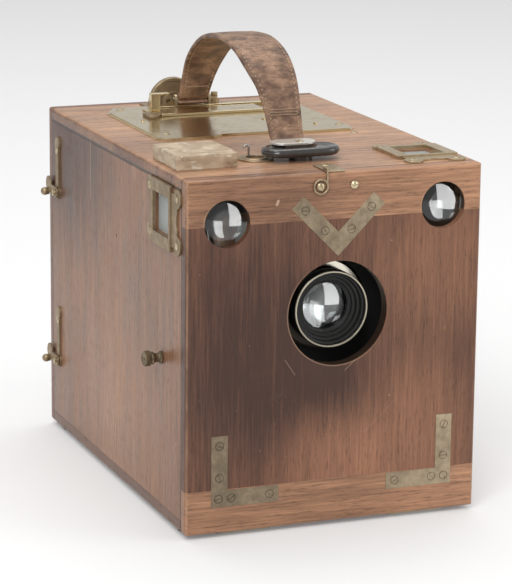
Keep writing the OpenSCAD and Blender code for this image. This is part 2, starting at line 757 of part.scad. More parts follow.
// Screws through the straps, as [x, z, shank]
arm_mid = strap_brass_w / 2;
function v_place(s, along) = [v_x + s * (along * cos(v_angle) - arm_mid * sin(v_angle)),
    v_point_z + along * sin(v_angle) + arm_mid * cos(v_angle), screw_l];
bracket_x = side_x - bracket_inset - arm_mid;
front_screw_places = concat(
    [for (s = [-1, 1], along = [v_arm_l * 0.32 + 4, v_arm_l - 8]) v_place(s, along)],
    [for (s = [-1, 1], down = [7, 29]) [s * bracket_x, bracket_rise + bracket_up - down, screw_l]],
    [for (s = [-1, 1], x = [arm_mid - 0.6, arm_mid + 8.5, bracket_across - 6.5])
        [s * (side_x - bracket_inset - x), bracket_rise + arm_mid, screw_l]]);
module strap_holes() for (p = front_screw_places) on_front(p[0], p[1]) screw_hole(p[2]);
module v_strap() color("goldenrod") difference() {
    on_front(0, 0) translate([0, 0, -strap_brass_t]) linear_extrude(strap_brass_t + brass_proud) v_outline();
    strap_holes();
}
module corner_brackets() color("goldenrod") difference() {
    on_front(0, 0) translate([0, 0, -strap_brass_t])
        linear_extrude(strap_brass_t + brass_proud) bracket_outlines();
    strap_holes();
}
module front_screws() color("goldenrod") {
    for (p = front_screw_places) on_front(p[0], p[1]) screw(p[2]);
    for (p = hook_screw_places) on_front(p[0], p[1], hook_head_out) screw();
}

// Catch over the top edge: a holed tab on the top, and a wire hook round the front screw
catch_x = -1.5;
tab_t = 1.2;
tab_w = 14;
tab_l = 22;
tab_in = 0.2;
tab_z = case_h - tab_in;
tab_screw_y = front_y + tab_l - 4.5;
hook_x = -12;
hook_drop = 9.4;
hook_head_out = 0.8;
hook_screw_places = [[hook_x, case_h - hook_drop], [-hook_x, case_h - hook_drop]];
hook_wire_r = 0.7;
hook_eye_r = 4.8;
hook_wire_y = front_y - hook_wire_r - gap;
hook_eye_z = case_h - hook_drop;
hook_top_z = tab_z + tab_t + gap + hook_wire_r;
hook_neck_x = catch_x - tab_w / 2 + 1;
module catch_pocket() slab(catch_x - tab_w / 2 - gap, catch_x + tab_w / 2 + gap,
    front_y - 1, front_y + tab_l + gap, tab_z, case_h + 1);
module front_catch_room() slab(catch_x - tab_w / 2 - gap, catch_x + tab_w / 2 + gap,
    front_y - 1, box_front + 1, tab_z - gap, case_h + 1);
module catch_plate() color("goldenrod") difference() {
    slab(catch_x - tab_w / 2, catch_x + tab_w / 2, front_y + 0.5, front_y + tab_l, tab_z, tab_z + tab_t);
    translate([catch_x, tab_screw_y, tab_z + tab_t]) screw_hole(3);
}
// The hook turns round its screw, to the left, until its end is clear of the tab
module front_hook() color("goldenrod") {
    translate([hook_x, hook_wire_y, hook_eye_z]) rotate([90, 0, 0])
        rotate_extrude() translate([hook_eye_r, 0]) circle(hook_wire_r);
    neck_foot_z = hook_eye_z + sqrt(pow(hook_eye_r, 2) - pow(hook_neck_x - hook_x, 2));
    translate([hook_neck_x, hook_wire_y, neck_foot_z]) cylinder(h = hook_top_z - neck_foot_z, r = hook_wire_r);
    translate([hook_neck_x, hook_wire_y, hook_top_z]) sphere(hook_wire_r);
    along_y(hook_neck_x, hook_wire_y, hook_top_z, hook_wire_r, 7);
}

// Lens, on its board
function lens_axis(y) = [lens_x, y, lens_z];
module lens_turned(y) translate(lens_axis(y)) rotate([-90, 0, 0]) children();
module lens_barrel() color("goldenrod") lens_turned(front_y + hood_set) rotate_extrude() polygon([
    [hood_r - hood_wall, 0], [hood_r, 0], [hood_r, hood_l - 2], [hood_r - 2.5, hood_l],
    [barrel_r, hood_l], [barrel_r, hood_l + iris_w + 0.2 + flange_t + lens_board_t - 1],
    [barrel_bore_r, hood_l + iris_w + 0.2 + flange_t + lens_board_t - 1],
    [barrel_bore_r, hood_l - 1], [barrel_bore_r + 2, hood_l - 1], [barrel_bore_r + 2, hood_l - 4],
    [barrel_bore_r + 4.5, hood_l - 4], [barrel_bore_r + 4.5, 3.5], [hood_r - hood_wall, 2]]);
module lens_glass(bulge_r, t) intersection() {
    translate([0, 0, -t / 2]) cylinder(h = t, r = glass_r);
    translate([0, 0, bulge_r - t / 2]) sphere(r = bulge_r, $fn = 96);
}
module lens_glasses() color("lightblue") {
    lens_turned(front_y + glass_set + 1.5) lens_glass(36, 6);
    lens_turned(shutter_y - 5) mirror([0, 0, 1]) lens_glass(48, 5);
}
module lens_flange() color("goldenrod") lens_turned(flange_y) difference() {
    cylinder(h = flange_t, r = flange_r);
    translate([0, 0, -1]) cylinder(h = flange_t + 2, r = barrel_r + fit);
}
module iris_ring() color("goldenrod") lens_turned(front_y + glass_set + 0.1) {
    difference() {
        cylinder(h = iris_w, r = hood_r - 2.5);
        translate([0, 0, -1]) cylinder(h = iris_w + 2, r = barrel_r + fit);
    }
    rotate(215) translate([hood_r - 3.5, -1.5, 1]) cube([7, 3, iris_w - 2]);
}
module lens_board() color("peru") difference() {
    union() {
        slab(-lens_board_half_w, lens_board_half_w, lens_board_y, shutter_y, lens_board_low, lens_board_high);
        for (s = [-1, 1]) {
            x_in = lens_board_half_w - 4;
            x_out = runner_in + groove_w - gap;
            slab(s > 0 ? x_in : -x_out, s > 0 ? x_out : -x_in, lens_board_y, lens_board_y + bar_l,
                groove_z + fit, groove_z + groove_h - fit);
        }
    }
    along_y(lens_x, lens_board_y - 1, lens_z, barrel_r + fit, lens_board_t + 2);
}
module focus_runners() color("saddlebrown")
    for (s = [-1, 1]) difference() {
        slab(s > 0 ? runner_in : -inner_x, s > 0 ? inner_x : -runner_in, runner_y0, runner_y1,
            runner_z, runner_z + runner_h);
        slab(s > 0 ? runner_in - 1 : -runner_in - groove_w, s > 0 ? runner_in + groove_w : -runner_in + 1,
            runner_y0 - 1, runner_y1 + 1, groove_z, groove_z + groove_h);
    }

// Rack over the pinion: a tooth of the rack meets a gap of the pinion at rest
module rack_tooth() polygon([[-0.75 * tooth_module, 0], [-0.35 * tooth_module, -tooth_in - tooth_out + 0.25],
    [0.35 * tooth_module, -tooth_in - tooth_out + 0.25], [0.75 * tooth_module, 0]]);
rack_root_z = rack_pitch_z + tooth_in;
module focus_rack() color("goldenrod") {
    slab(rack_x0, rack_x0 + rack_w, knob_y - rack_l / 2, knob_y + rack_l / 2, rack_root_z, groove_z + fit);
    translate([rack_x0, knob_y, rack_root_z]) rotate([90, 0, 90]) linear_extrude(rack_w)
        for (i = [-5:5]) translate([i * tooth_pitch, 0]) rack_tooth();
}
module focus_pinion() color("goldenrod") {
    along_x(rack_x0 - 1.5, knob_y, knob_z, pitch_r - tooth_in, rack_w + 3);
    translate([rack_x0, knob_y, knob_z]) rotate([90, 0, 90]) linear_extrude(rack_w)
        for (i = [0:pinion_teeth - 1]) rotate(90 + (i + 0.5) * 360 / pinion_teeth)
            translate([pitch_r - tooth_in - 0.3, 0]) polygon([[0, -0.75 * tooth_module],
                [tooth_in + tooth_out + 0.05, -0.35 * tooth_module],
                [tooth_in + tooth_out + 0.05, 0.35 * tooth_module], [0, 0.75 * tooth_module]]);
    along_x(-side_x - 4, knob_y, knob_z, shaft_r, side_x + 4 + rack_x0);
}
module focus_knob() color("goldenrod") translate([-side_x, knob_y, knob_z]) rotate([0, -90, 0])
    rotate_extrude() polygon([[shaft_r, gap], [4, gap], [4, 1.6], [3.4, 3], [2.7 + 0.5, 4.6],
        [3.4, knob_out - 6.5], [knob_r, knob_out - 4.4], [knob_r, knob_out - 0.8], [knob_r - 0.8, knob_out],
        [0, knob_out], [0, 4], [shaft_r, 4]]);
module pinion_bush() color("goldenrod") difference() {
    along_x(-side_x, knob_y, knob_z, shaft_r + 1.5, board_t);
    along_x(-side_x - 1, knob_y, knob_z, shaft_r + fit, board_t + 2);
}

// Shutter: a case with a falling blade, and the wire that lifts it
module shutter_case() color("dimgray") difference() {
    slab(-shutter_half_w, shutter_half_w, shutter_y, shutter_y + shutter_d, shutter_low, lens_board_high);
    slab(-shutter_half_w + shutter_wall, shutter_half_w - shutter_wall, shutter_y + shutter_wall,
        shutter_y + shutter_d - shutter_wall, shutter_low + shutter_wall, lens_board_high + 1);
    along_y(lens_x, shutter_y - 1, lens_z, shutter_hole_r, shutter_d + 2);
}
module shutter_blade() color("dimgray") difference() {
    union() {
        slab(-blade_half_w, blade_half_w, blade_y, blade_y + blade_t, blade_low, blade_high);
        slab(wire_x - 3, wire_x + 3, blade_y, wire_y + 2.5, blade_high - blade_t, blade_high);
    }
    along_y(lens_x, blade_y - 1, blade_hole_z, shutter_hole_r, blade_t + 2);
    translate([wire_x, wire_y, blade_high - 3]) cylinder(h = 5, r = wire_r + fit);
}
wire_foot = blade_high - blade_t - 1;
wire_top = case_h + 7.5;
wire_loop_r = 1.6;
module setting_wire() color("silver") {
    translate([wire_x, wire_y, wire_foot]) cylinder(h = wire_top - wire_foot, r = wire_r);
    translate([wire_x - wire_loop_r, wire_y, wire_top]) rotate([-90, 0, 0]) {
        rotate_extrude(angle = -180) translate([wire_loop_r, 0]) circle(wire_r);
        translate([-wire_loop_r, 0, 0]) rotate([-90, 0, 0]) cylinder(h = 0.1, r = wire_r);
    }
}

// Magazine: a frame and shelf behind the lens, with the sheathed plates
module magazine_frame() color("saddlebrown") difference() {
    union() {
        slab(-inner_x, inner_x, focal_y, focal_y + magazine_t, board_t, inner_top);
        slab(-inner_x, inner_x, focal_y, box_rear - 10, plate_z0 - shelf_t, plate_z0);
    }
    slab(-sheath_w / 2 - sheath_play, sheath_w / 2 + sheath_play, focal_y - 1, focal_y + magazine_t + 1,
        plate_z0, plate_z0 + sheath_h + 5);
    slab(-catch_half_w - catch_room, catch_half_w + catch_room, focal_y - 1, focal_y + magazine_t + 1,
        plate_z0 + sheath_h, inner_top + 1);
}
sheath_rim = 3;
module sheath(y) difference() {
    slab(-sheath_w / 2, sheath_w / 2, y, y + sheath_t, plate_z0 + fit, plate_z0 + sheath_h);
    slab(-sheath_w / 2 + sheath_rim, sheath_w / 2 - sheath_rim, y - 1, y + sheath_t - 0.5,
        plate_z0 + sheath_rim, plate_z0 + sheath_h - sheath_rim);
}
module plate_sheaths() color("dimgray")
    for (i = [1:sheath_count]) sheath(focal_y + i * sheath_pitch);
module front_sheath() color("dimgray") sheath(focal_y);
module pusher_plate() color("goldenrod")
    slab(-sheath_w / 2 + pusher_inset, sheath_w / 2 - pusher_inset, pusher_y, pusher_y + pusher_t,
        plate_z0 + pusher_inset, plate_z0 + sheath_h - pusher_inset);
module pusher_springs() color("silver")
    for (x = [-spring_x, spring_x]) difference() {
        along_y(x, pusher_y + pusher_t, lens_z, spring_r, box_rear - pusher_y - pusher_t);
        along_y(x, pusher_y + pusher_t - 1, lens_z, spring_r - spring_wall, box_rear - pusher_y - pusher_t + 2);
    }

// Rear door with its latches and hinges
module rear_door() color("saddlebrown") difference() {
    intersection() {
        slab(-side_x, side_x, box_rear, rear_y, 0, case_h);
        case_envelope();
    }
    for (z = door_hinge_z) slab(side_x - leaf_t, side_x + 1, box_rear - 1, rear_y - 1.5,
        z - door_hinge_l / 2, z + door_hinge_l / 2);
    for (z = [upper_latch_z, lower_latch_z]) along_x(-side_x - 1, rear_y - 4.5, z + 3, 1 + fit, 8);
}
module latch_pins() color("goldenrod")
    for (z = [upper_latch_z, lower_latch_z]) {
        along_x(-side_x, rear_y - 4.5, z + 3, 1, 6.5);
        along_x(-side_x - 1.3, rear_y - 4.5, z + 3, 1.8, 1.3);
    }
module latch_plate(z) {
    on_left(latch_y, z) difference() {
        union() {
            translate([0, 0, 0]) cylinder(h = latch_plate_t, r = 5);
            translate([36, 0, 0]) cylinder(h = latch_plate_t, r = 4.6);
            translate([16, 0, 0]) cylinder(h = latch_plate_t, r = 3.6);
            translate([0, -3.2, 0]) cube([38, 6.4, latch_plate_t]);
            translate([38, 0, 0]) cylinder(h = latch_plate_t, r = 3.4);
        }
        cylinder(h = 9, r = screw_shank_r + fit, center = true);
        translate([latch_screw_rise, 0, latch_plate_t]) screw_hole(3);
    }
}
module latch_plates() color("goldenrod") {
    latch_plate(upper_latch_z);
    latch_plate(lower_latch_z);
}
// A latch hook: an eye on its stud, a lobe over the door's edge and a ball to push
module latch_hook(z) {
    on_left(latch_y, z, latch_plate_t + gap) difference() {
        union() {
            cylinder(h = latch_t, r = 4.2);
            translate([-2.4, 0, 0]) cube([6.4, 17, latch_t]);
            translate([3.4, 16.5, 0]) cylinder(h = latch_t, r = 6);
            translate([-2.6, 19.5, 0]) cylinder(h = latch_t, r = 2.6);
        }
        translate([0, 0, -1]) cylinder(h = latch_t + 2, r = screw_shank_r + fit);
    }
    on_left(latch_y, z, latch_plate_t + gap) translate([-2.6, 19.5, latch_t + ball_r - 1.2]) sphere(r = ball_r);
}
module upper_latch_hook() color("goldenrod") latch_hook(upper_latch_z);
module lower_latch_hook() color("goldenrod") latch_hook(lower_latch_z);

// Hinges: each has a knuckle in three, the middle one on the fixed leaf
third = 1 / 3;
module knuckle(l, part, r, pin) difference() {
    if (part == "middle") translate([0, 0, l * third]) cylinder(h = l * third, r = r);
    else for (z = [0, l * 2 * third]) translate([0, 0, z]) cylinder(h = l * third, r = r);
    translate([0, 0, -1]) cylinder(h = l + 2, r = pin + fit);
}
module knuckle_room(l, part, r) {
    room = 0.1;
    if (part == "middle") translate([0, 0, l * third - room]) cylinder(h = l * third + 2 * room, r = r);
    else for (z = [-1, l * 2 * third - room]) translate([0, 0, z]) cylinder(h = l * third + 1 + room, r = r);
}
module door_knuckle(z) translate([door_axis_x, door_axis_y, z - door_hinge_l / 2]) children();
module case_leaf(z) {
    difference() {
        slab(side_x - leaf_t, side_x, box_rear - door_leaf_l, box_rear,
            z - door_hinge_l / 2, z + door_hinge_l / 2);
        door_knuckle(z) knuckle_room(door_hinge_l, "outer", knuckle_r + 0.1);
        door_knuckle(z) translate([0, 0, -1]) cylinder(h = door_hinge_l + 2, r = hinge_pin_r + fit);
    }
    door_knuckle(z) knuckle(door_hinge_l, "middle", knuckle_r, hinge_pin_r);
}
module case_hinge_leaves() color("goldenrod") {
    for (z = door_hinge_z) case_leaf(z);
    for (x = front_hinge_x) {
        slab(x - front_hinge_l / 2, x + front_hinge_l / 2, box_front, box_front + front_leaf_l, 0, leaf_t);
        translate([x - front_hinge_l / 2, box_front, front_axis_z]) rotate([0, 90, 0])
            knuckle(front_hinge_l, "middle", front_knuckle_r, front_pin_r);
        slab(x - front_hinge_l / 6, x + front_hinge_l / 6, box_front + front_pin_r + 0.2, box_front + 3,
            front_axis_z + 0.1, tiny);
    }
}
module front_hinge_leaves() color("goldenrod")
    for (x = front_hinge_x) {
        slab(x - front_hinge_l / 2, x + front_hinge_l / 2, front_y + 1.5, box_front, 0, leaf_t);
        translate([x - front_hinge_l / 2, box_front, front_axis_z]) rotate([0, 90, 0])
            knuckle(front_hinge_l, "outer", front_knuckle_r, front_pin_r);
        for (s = [-1, 1]) slab(x + s * front_hinge_l / 3 - front_hinge_l / 6 + 0.2,
            x + s * front_hinge_l / 3 + front_hinge_l / 6 - 0.2,
            box_front - 3, box_front - front_pin_r - 0.2, front_axis_z + 0.1, tiny);
    }
module door_hinge_leaves() color("goldenrod")
    for (z = door_hinge_z) {
        difference() {
            slab(side_x - leaf_t, side_x, box_rear, rear_y - 1.5, z - door_hinge_l / 2, z + door_hinge_l / 2);
            door_knuckle(z) knuckle_room(door_hinge_l, "middle", knuckle_r + 0.1);
            door_knuckle(z) translate([0, 0, -1]) cylinder(h = door_hinge_l + 2, r = hinge_pin_r + fit);
        }
        door_knuckle(z) knuckle(door_hinge_l, "outer", knuckle_r, hinge_pin_r);
    }
module pivot_pins() color("silver") {
    for (z = door_hinge_z) translate([door_axis_x, door_axis_y, z - door_hinge_l / 2 - 0.6])
        cylinder(h = door_hinge_l + 1.2, r = hinge_pin_r);
    for (x = front_hinge_x)
        along_x(x - front_hinge_l / 2 - 0.4, box_front, front_axis_z, front_pin_r, front_hinge_l + 0.8);
    along_y(wheel_x, wheel_y - axle_l / 2, wheel_z, axle_r, axle_l);
    along_x(handle_x - handle_w / 2 - lug_t - 1.4, handle_pin_y, handle_pin_z, strap_pin_r,
        handle_w + 2 * lug_t + 2.8);
}

// Setting wheel with its stud, in the bracket that also holds the handle's rear pin
module setting_wheel() color("goldenrod") translate([wheel_x, wheel_y, wheel_z]) rotate([90, 0, 0]) {
    difference() {
        translate([0, 0, -wheel_t / 2]) cylinder(h = wheel_t, r = wheel_r);
        translate([0, 0, -wheel_t]) cylinder(h = 2 * wheel_t, r = axle_r + fit);
        translate([0, 0, wheel_t / 2 - 0.8]) difference() {
            cylinder(h = 1, r = wheel_r - 2.6);
            translate([0, 0, -1]) cylinder(h = 3, r = 4.2);
        }
    }
}
module bracket_outline(grow = 0)
    slab(wheel_x - wheel_r - 5 - grow, nut_x + 6 + grow, handle_pin_y - 5 - grow,
        wheel_y + wheel_t / 2 + lug_t + 3 + grow, case_h - 1, case_h + 4);
module lug(r, h) {
    cylinder(h = h, r = r);
    translate([-r, -20, 0]) cube([2 * r, 20, h]);
}
module rear_bracket() color("goldenrod") difference() {
    union() {
        intersection() {
            bracket_outline();
            slab(-side_x, side_x, front_y, rear_y, case_h, case_h + bracket_t);
        }
        intersection() {
            slab(-side_x, side_x, front_y, rear_y, case_h, case_h + 20);
            union() {
                for (y = [wheel_y - wheel_t / 2 - gap * 2 - lug_t, wheel_y + wheel_t / 2 + gap * 2])
                    translate([wheel_x, y + lug_t, wheel_z]) rotate([90, 0, 0]) lug(lug_r, lug_t);
                for (x = [handle_x - handle_w / 2 - 0.6 - lug_t, handle_x + handle_w / 2 + 0.6])
                    translate([x, handle_pin_y, handle_pin_z]) rotate([90, 0, 90]) lug(lug_r, lug_t);
                translate([eye_x, handle_pin_y + 4, eye_z]) rotate([90, 0, 0]) lug(eye_r, lug_t);
            }
        }
        translate([nut_x, handle_pin_y + 2, case_h]) {
            cylinder(h = 5.5, r = 3.8);
            cylinder(h = 10, r = 2.5);
        }
    }
    along_y(eye_x, handle_pin_y, eye_z, 1.9, 8);
    wheel_slot();
    along_y(wheel_x, wheel_y - axle_l / 2 - gap, wheel_z, axle_r + fit, axle_l + 2 * gap);
    along_x(handle_x - handle_w, handle_pin_y, handle_pin_z, strap_pin_r + fit, 2 * handle_w);
}

// Handle and its front fitting
module strap_ring() color("black") translate([ring_x, handle_front_y, case_h + ring_rise + ring_tube]) {
    end_r = ring_d / 2 - ring_tube;
    run = ring_l - ring_d;
    difference() {
        union() {
            for (s = [-1, 1]) translate([s * run / 2, 0, 0]) {
                rotate(s > 0 ? -90 : 90) rotate_extrude(angle = 180) translate([end_r, 0]) circle(ring_tube);
                translate([0, 0, -ring_tube]) cylinder(h = ring_t, r = end_r);
            }
            for (s = [-1, 1]) translate([-run / 2, s * end_r, 0]) rotate([0, 90, 0])
                cylinder(h = run, r = ring_tube);
            translate([-run / 2, -end_r, -ring_tube]) cube([run, 2 * end_r, ring_t]);
            translate([0, 0, -ring_tube - ring_rise]) cylinder(h = ring_t, r = 8);
        }
        translate([handle_x - ring_x, clamp_y - handle_front_y, -ring_tube - ring_rise - 1])
            cylinder(h = 2 * ring_t, r = screw_shank_r + fit);
        translate([handle_x - ring_x - handle_w / 2 - gap, foot_end_y - handle_front_y - gap,
            ring_tube - handle_t - gap]) cube([handle_w + 2 * gap, ring_d, handle_t + 1]);
    }
}
ring_x = handle_x - 2;
foot_end_y = clamp_y - 6;
module strap_washer() color("silver")
    translate([washer_x, washer_y, pad_top]) difference() {
        translate([-washer_l / 2, -washer_d / 2, 0]) linear_extrude(washer_t)
            rounded_rect(washer_l, washer_d, washer_d / 2 - 0.5);
        translate([handle_x - washer_x, clamp_y - washer_y, washer_t]) screw_hole();
    }
// The handle's middle line from its rear pin to the bend over its front foot, as [y, z]
handle_span = handle_pin_y - handle_bend_y;
handle_shape = [[0, 0.05], [0.016, 0.132], [0.058, 0.353], [0.103, 0.537], [0.178, 0.706],
    [0.29, 0.86], [0.43, 0.956], [0.589, 1], [0.7, 1], [0.809, 0.949], [0.886, 0.835],
    [0.944, 0.666], [0.976, 0.437], [1, 0.2]];
handle_knots = concat([for (p = handle_shape) [handle_pin_y - p[0] * handle_span,
    case_h + p[1] * (handle_rise - handle_t / 2)]],
    [[handle_bend_y - 1.5, handle_front_z + 2.6], [handle_bend_y - 5, handle_front_z],
    [handle_bend_y - 10, handle_front_z]]);
function blend_point(a, b, c, d, t) = 0.5 * ((2 * b) + (c - a) * t + (2 * a - 5 * b + 4 * c - d) * t * t
    + (3 * b - a - 3 * c + d) * t * t * t);
last = len(handle_knots) - 1;
function knot(i) = handle_knots[max(0, min(last, i))];
handle_line = [for (i = [0:last - 1], t = [0:0.25:0.75])
    blend_point(knot(i - 1), knot(i), knot(i + 1), knot(i + 2), t)];
function side_step(i) = let (n = len(handle_line) - 1, a = handle_line[max(0, i - 1)],
    b = handle_line[min(n, i + 1)], d = (b - a) / norm(b - a)) [-d[1], d[0]];
outer_edge = [for (i = [0:len(handle_line) - 1]) handle_line[i] + side_step(i) * handle_t / 2];
inner_edge = [for (i = [len(handle_line) - 1:-1:0]) handle_line[i] - side_step(i) * handle_t / 2];
// The grip's edges seen from above: share of the span, then shares of the swell on the left and the right
grip_shares = [[-0.03, 0, 0], [0.024, 0, 0], [0.058, 0, 0.19], [0.103, 0.08, 0.42], [0.29, 0.25, 0.55],
    [0.5, 0.6, 0.35], [0.7, 0.92, 0.1], [0.809, 1, 0], [0.886, 0.95, 0.03], [0.944, 0.67, 0],
    [0.976, 0.33, 0], [1, 0, 0], [1.1, 0, 0]];
grip_left = [for (p = grip_shares) [handle_left - p[1] * handle_swell, handle_pin_y - p[0] * handle_span]];
grip_right = [for (i = [len(grip_shares) - 1:-1:0]) [handle_left + handle_w + grip_shares[i][2] * handle_swell,
    handle_pin_y - grip_shares[i][0] * handle_span]];
module handle_strap() color("saddlebrown") difference() {
    union() {
        intersection() {
            translate([handle_left - handle_swell - 1, 0, 0]) rotate([90, 0, 90])
                linear_extrude(handle_w + 2 * handle_swell + 2) polygon(concat(outer_edge, inner_edge));
            linear_extrude(case_h + handle_rise + 10) polygon(concat(grip_left, grip_right));
        }
        along_x(handle_left, handle_pin_y, handle_pin_z, strap_pin_r + handle_t, handle_w);
        slab(handle_left, handle_left + handle_w, foot_end_y, handle_bend_y - 5, pad_top - handle_t, pad_top);
    }
    along_x(handle_left - 1, handle_pin_y, handle_pin_z, strap_pin_r + fit, handle_w + 2);
    on_top(handle_x, clamp_y) cylinder(h = 20, r = screw_shank_r + fit);
}

// Release button on the right side
release_r = 2.5;
module release_button() color("goldenrod") translate([shutter_half_w + 5, knob_y, knob_z]) rotate([0, 90, 0]) {
    cylinder(h = side_x + 6 - shutter_half_w - 5, r = release_r);
    translate([0, 0, side_x + 5 - shutter_half_w - 5]) cylinder(h = 3.5, r = 4.5);
}

base_board();
top_board();
left_side();
right_side();
feet();
tripod_bush();
top_plate();
slide_rails();
stop_block();
corner_block();
cord_escutcheon();
finder_boxes();
finder_mirrors();
finder_screens();
finder_window_frames();
catch_plate();
latch_plates();
case_screws();
focus_runners();
pinion_bush();
magazine_frame();
plate_sheaths();
strap_ring();
strap_washer();
rear_bracket();
handle_strap();
case_hinge_leaves();
pivot_pins();
front_panel();
front_top_rail();
front_bottom_rail();
v_strap();
corner_brackets();
front_screws();
finder_lenses();
front_hinge_leaves();
front_hook();
rear_door();
latch_pins();
door_hinge_leaves();
pusher_plate();
pusher_springs();
upper_latch_hook();
lower_latch_hook();
focus_knob();
focus_pinion();
lens_board();
focus_rack();
lens_flange();
lens_barrel();
lens_glasses();
shutter_case();
iris_ring();
shutter_blade();
setting_wire();
changing_slide();
finger_piece();
setting_wheel();
front_sheath();
release_button();
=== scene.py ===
import math

import bmesh
import bpy
from mathutils import Matrix, Vector, noise


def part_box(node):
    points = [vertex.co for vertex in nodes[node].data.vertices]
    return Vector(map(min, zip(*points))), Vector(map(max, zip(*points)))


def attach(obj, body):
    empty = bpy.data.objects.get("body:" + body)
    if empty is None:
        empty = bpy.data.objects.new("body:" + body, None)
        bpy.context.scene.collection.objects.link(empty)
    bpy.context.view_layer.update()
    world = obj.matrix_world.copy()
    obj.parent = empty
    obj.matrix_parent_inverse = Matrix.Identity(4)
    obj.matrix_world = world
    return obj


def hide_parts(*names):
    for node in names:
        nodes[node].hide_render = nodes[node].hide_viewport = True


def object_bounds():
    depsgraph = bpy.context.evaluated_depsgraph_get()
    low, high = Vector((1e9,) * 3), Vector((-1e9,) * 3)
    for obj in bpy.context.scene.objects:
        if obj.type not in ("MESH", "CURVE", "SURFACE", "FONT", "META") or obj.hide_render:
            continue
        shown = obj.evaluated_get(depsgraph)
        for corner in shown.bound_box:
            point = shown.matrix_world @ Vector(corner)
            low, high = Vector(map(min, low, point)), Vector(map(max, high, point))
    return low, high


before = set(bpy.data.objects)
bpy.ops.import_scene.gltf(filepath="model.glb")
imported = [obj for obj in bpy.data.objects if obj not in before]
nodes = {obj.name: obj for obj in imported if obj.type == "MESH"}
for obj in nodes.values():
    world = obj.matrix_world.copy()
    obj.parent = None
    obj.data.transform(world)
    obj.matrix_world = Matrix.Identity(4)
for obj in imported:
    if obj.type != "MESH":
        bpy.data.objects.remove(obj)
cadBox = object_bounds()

mm = 0.001
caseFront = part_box("front_panel")[0].y
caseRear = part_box("rear_door")[1].y
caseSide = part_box("rear_door")[1].x
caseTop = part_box("rear_door")[1].z
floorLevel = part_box("feet")[0].z
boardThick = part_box("base_board")[1].z
lensCentre = sum(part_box("lens_flange"), Vector((0, 0, 0))) / 2
lensCentre.y = caseFront
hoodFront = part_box("lens_barrel")[0].y
apertureRadius = 35.5 * mm
print("frame loaded")


# Shader maths: a Link is an output socket, and sums written on it add Math nodes
class Link:
    def __init__(self, shade, socket):
        self.shade, self.socket = shade, socket

    def maths(self, operation, *inputs):
        return self.shade.add("ShaderNodeMath", {"operation": operation}, dict(enumerate(inputs)))

    def __add__(self, other):
        return self.maths("ADD", self, other)

    def __sub__(self, other):
        return self.maths("SUBTRACT", self, other)

    def __mul__(self, other):
        return self.maths("MULTIPLY", self, other)

    def __rsub__(self, other):
        return self.maths("SUBTRACT", other, self)

    __radd__, __rmul__ = __add__, __mul__

    def size(self):
        return self.maths("ABSOLUTE", self)

    def least(self, other):
        return self.maths("MINIMUM", self, other)

    def most(self, other):
        return self.maths("MAXIMUM", self, other)

    # 0 at low and 1 at high, with a soft step between; low may be the larger
    def band(self, low, high):
        return self.shade.add("ShaderNodeMapRange", {"interpolation_type": "SMOOTHSTEP"},
                              {0: self, 1: low, 2: high, 3: 0.0, 4: 1.0})


class Shade:
    def __init__(self, name):
        self.material = bpy.data.materials.new(name)
        self.material.use_nodes = True
        self.tree = self.material.node_tree
        self.surface = self.tree.nodes["Principled BSDF"]
        self.place = self.add("ShaderNodeTexCoord", out="Object")
        axes = (self.add("ShaderNodeSeparateXYZ", {}, {0: self.place}, axis) for axis in "XYZ")
        self.x, self.y, self.z = axes

    def add(self, kind, settings=None, inputs=None, out=0):
        node = self.tree.nodes.new(kind)
        for key, value in (settings or {}).items():
            setattr(node, key, value)
        for key, value in (inputs or {}).items():
            self.feed(node.inputs[key], value)
        return Link(self, node.outputs[out])

    def feed(self, socket, value):
        if isinstance(value, Link):
            self.tree.links.new(value.socket, socket)
        else:
            socket.default_value = value

    # sets sockets of the surface: an underline in a name stands for a space
    def set(self, **values):
        for key, value in values.items():
            self.feed(self.surface.inputs[key.replace("_", " ")], value)

    # noise with its own rate along each axis, in features a metre
    def noise(self, rates, detail=2.0, rough=0.5, shift=0.0, vector=None):
        mapped = self.add("ShaderNodeMapping", {}, {"Vector": vector or self.place, "Scale": rates,
                                                    "Location": (shift, shift * 0.7, -shift)})
        return self.add("ShaderNodeTexNoise", {},
                        {"Vector": mapped, "Scale": 1.0, "Detail": detail, "Roughness": rough})

    def mixed(self, factor, first, second, blend="MIX"):
        return self.add("ShaderNodeMix", {"data_type": "RGBA", "blend_type": blend},
                        {0: factor, 6: first, 7: second}, 2)

    def turned(self, angles):
        return self.add("ShaderNodeMapping", {}, {"Vector": self.place, "Rotation": angles})

    def vectorMath(self, operation, inputs, out="Value"):
        return self.add("ShaderNodeVectorMath", {"operation": operation}, inputs, out)

    def distance(self, point):
        return self.vectorMath("DISTANCE", {0: self.place, 1: point})

    # distance from the straight line between two points
    def fromLine(self, start, end):
        run = Vector(end) - Vector(start)
        arm = self.vectorMath("SUBTRACT", {0: self.place, 1: start}, 0)
        share = self.vectorMath("DOT_PRODUCT", {0: arm, 1: run}) * (1 / run.length_squared)
        along = self.vectorMath("SCALE", {0: run, "Scale": share.most(0.0).least(1.0)}, 0)
        return self.vectorMath("DISTANCE", {0: arm, 1: along})

    def bump(self, height, depth, strength=1.0):
        inputs = {"Strength": strength, "Distance": depth, "Height": height}
        self.set(Normal=self.add("ShaderNodeBump", {}, inputs, "Normal"))

    # how near a point of the box's outside is to one of its edges
    def edgeDistance(self):
        across = caseSide - self.x.size()
        deep = (self.y - caseFront).least(caseRear - self.y)
        high = self.z.least(caseTop - self.z)
        return across.least(deep).most(across.most(deep).least(high))


def rgb(red, green, blue):
    return (red, green, blue, 1.0)


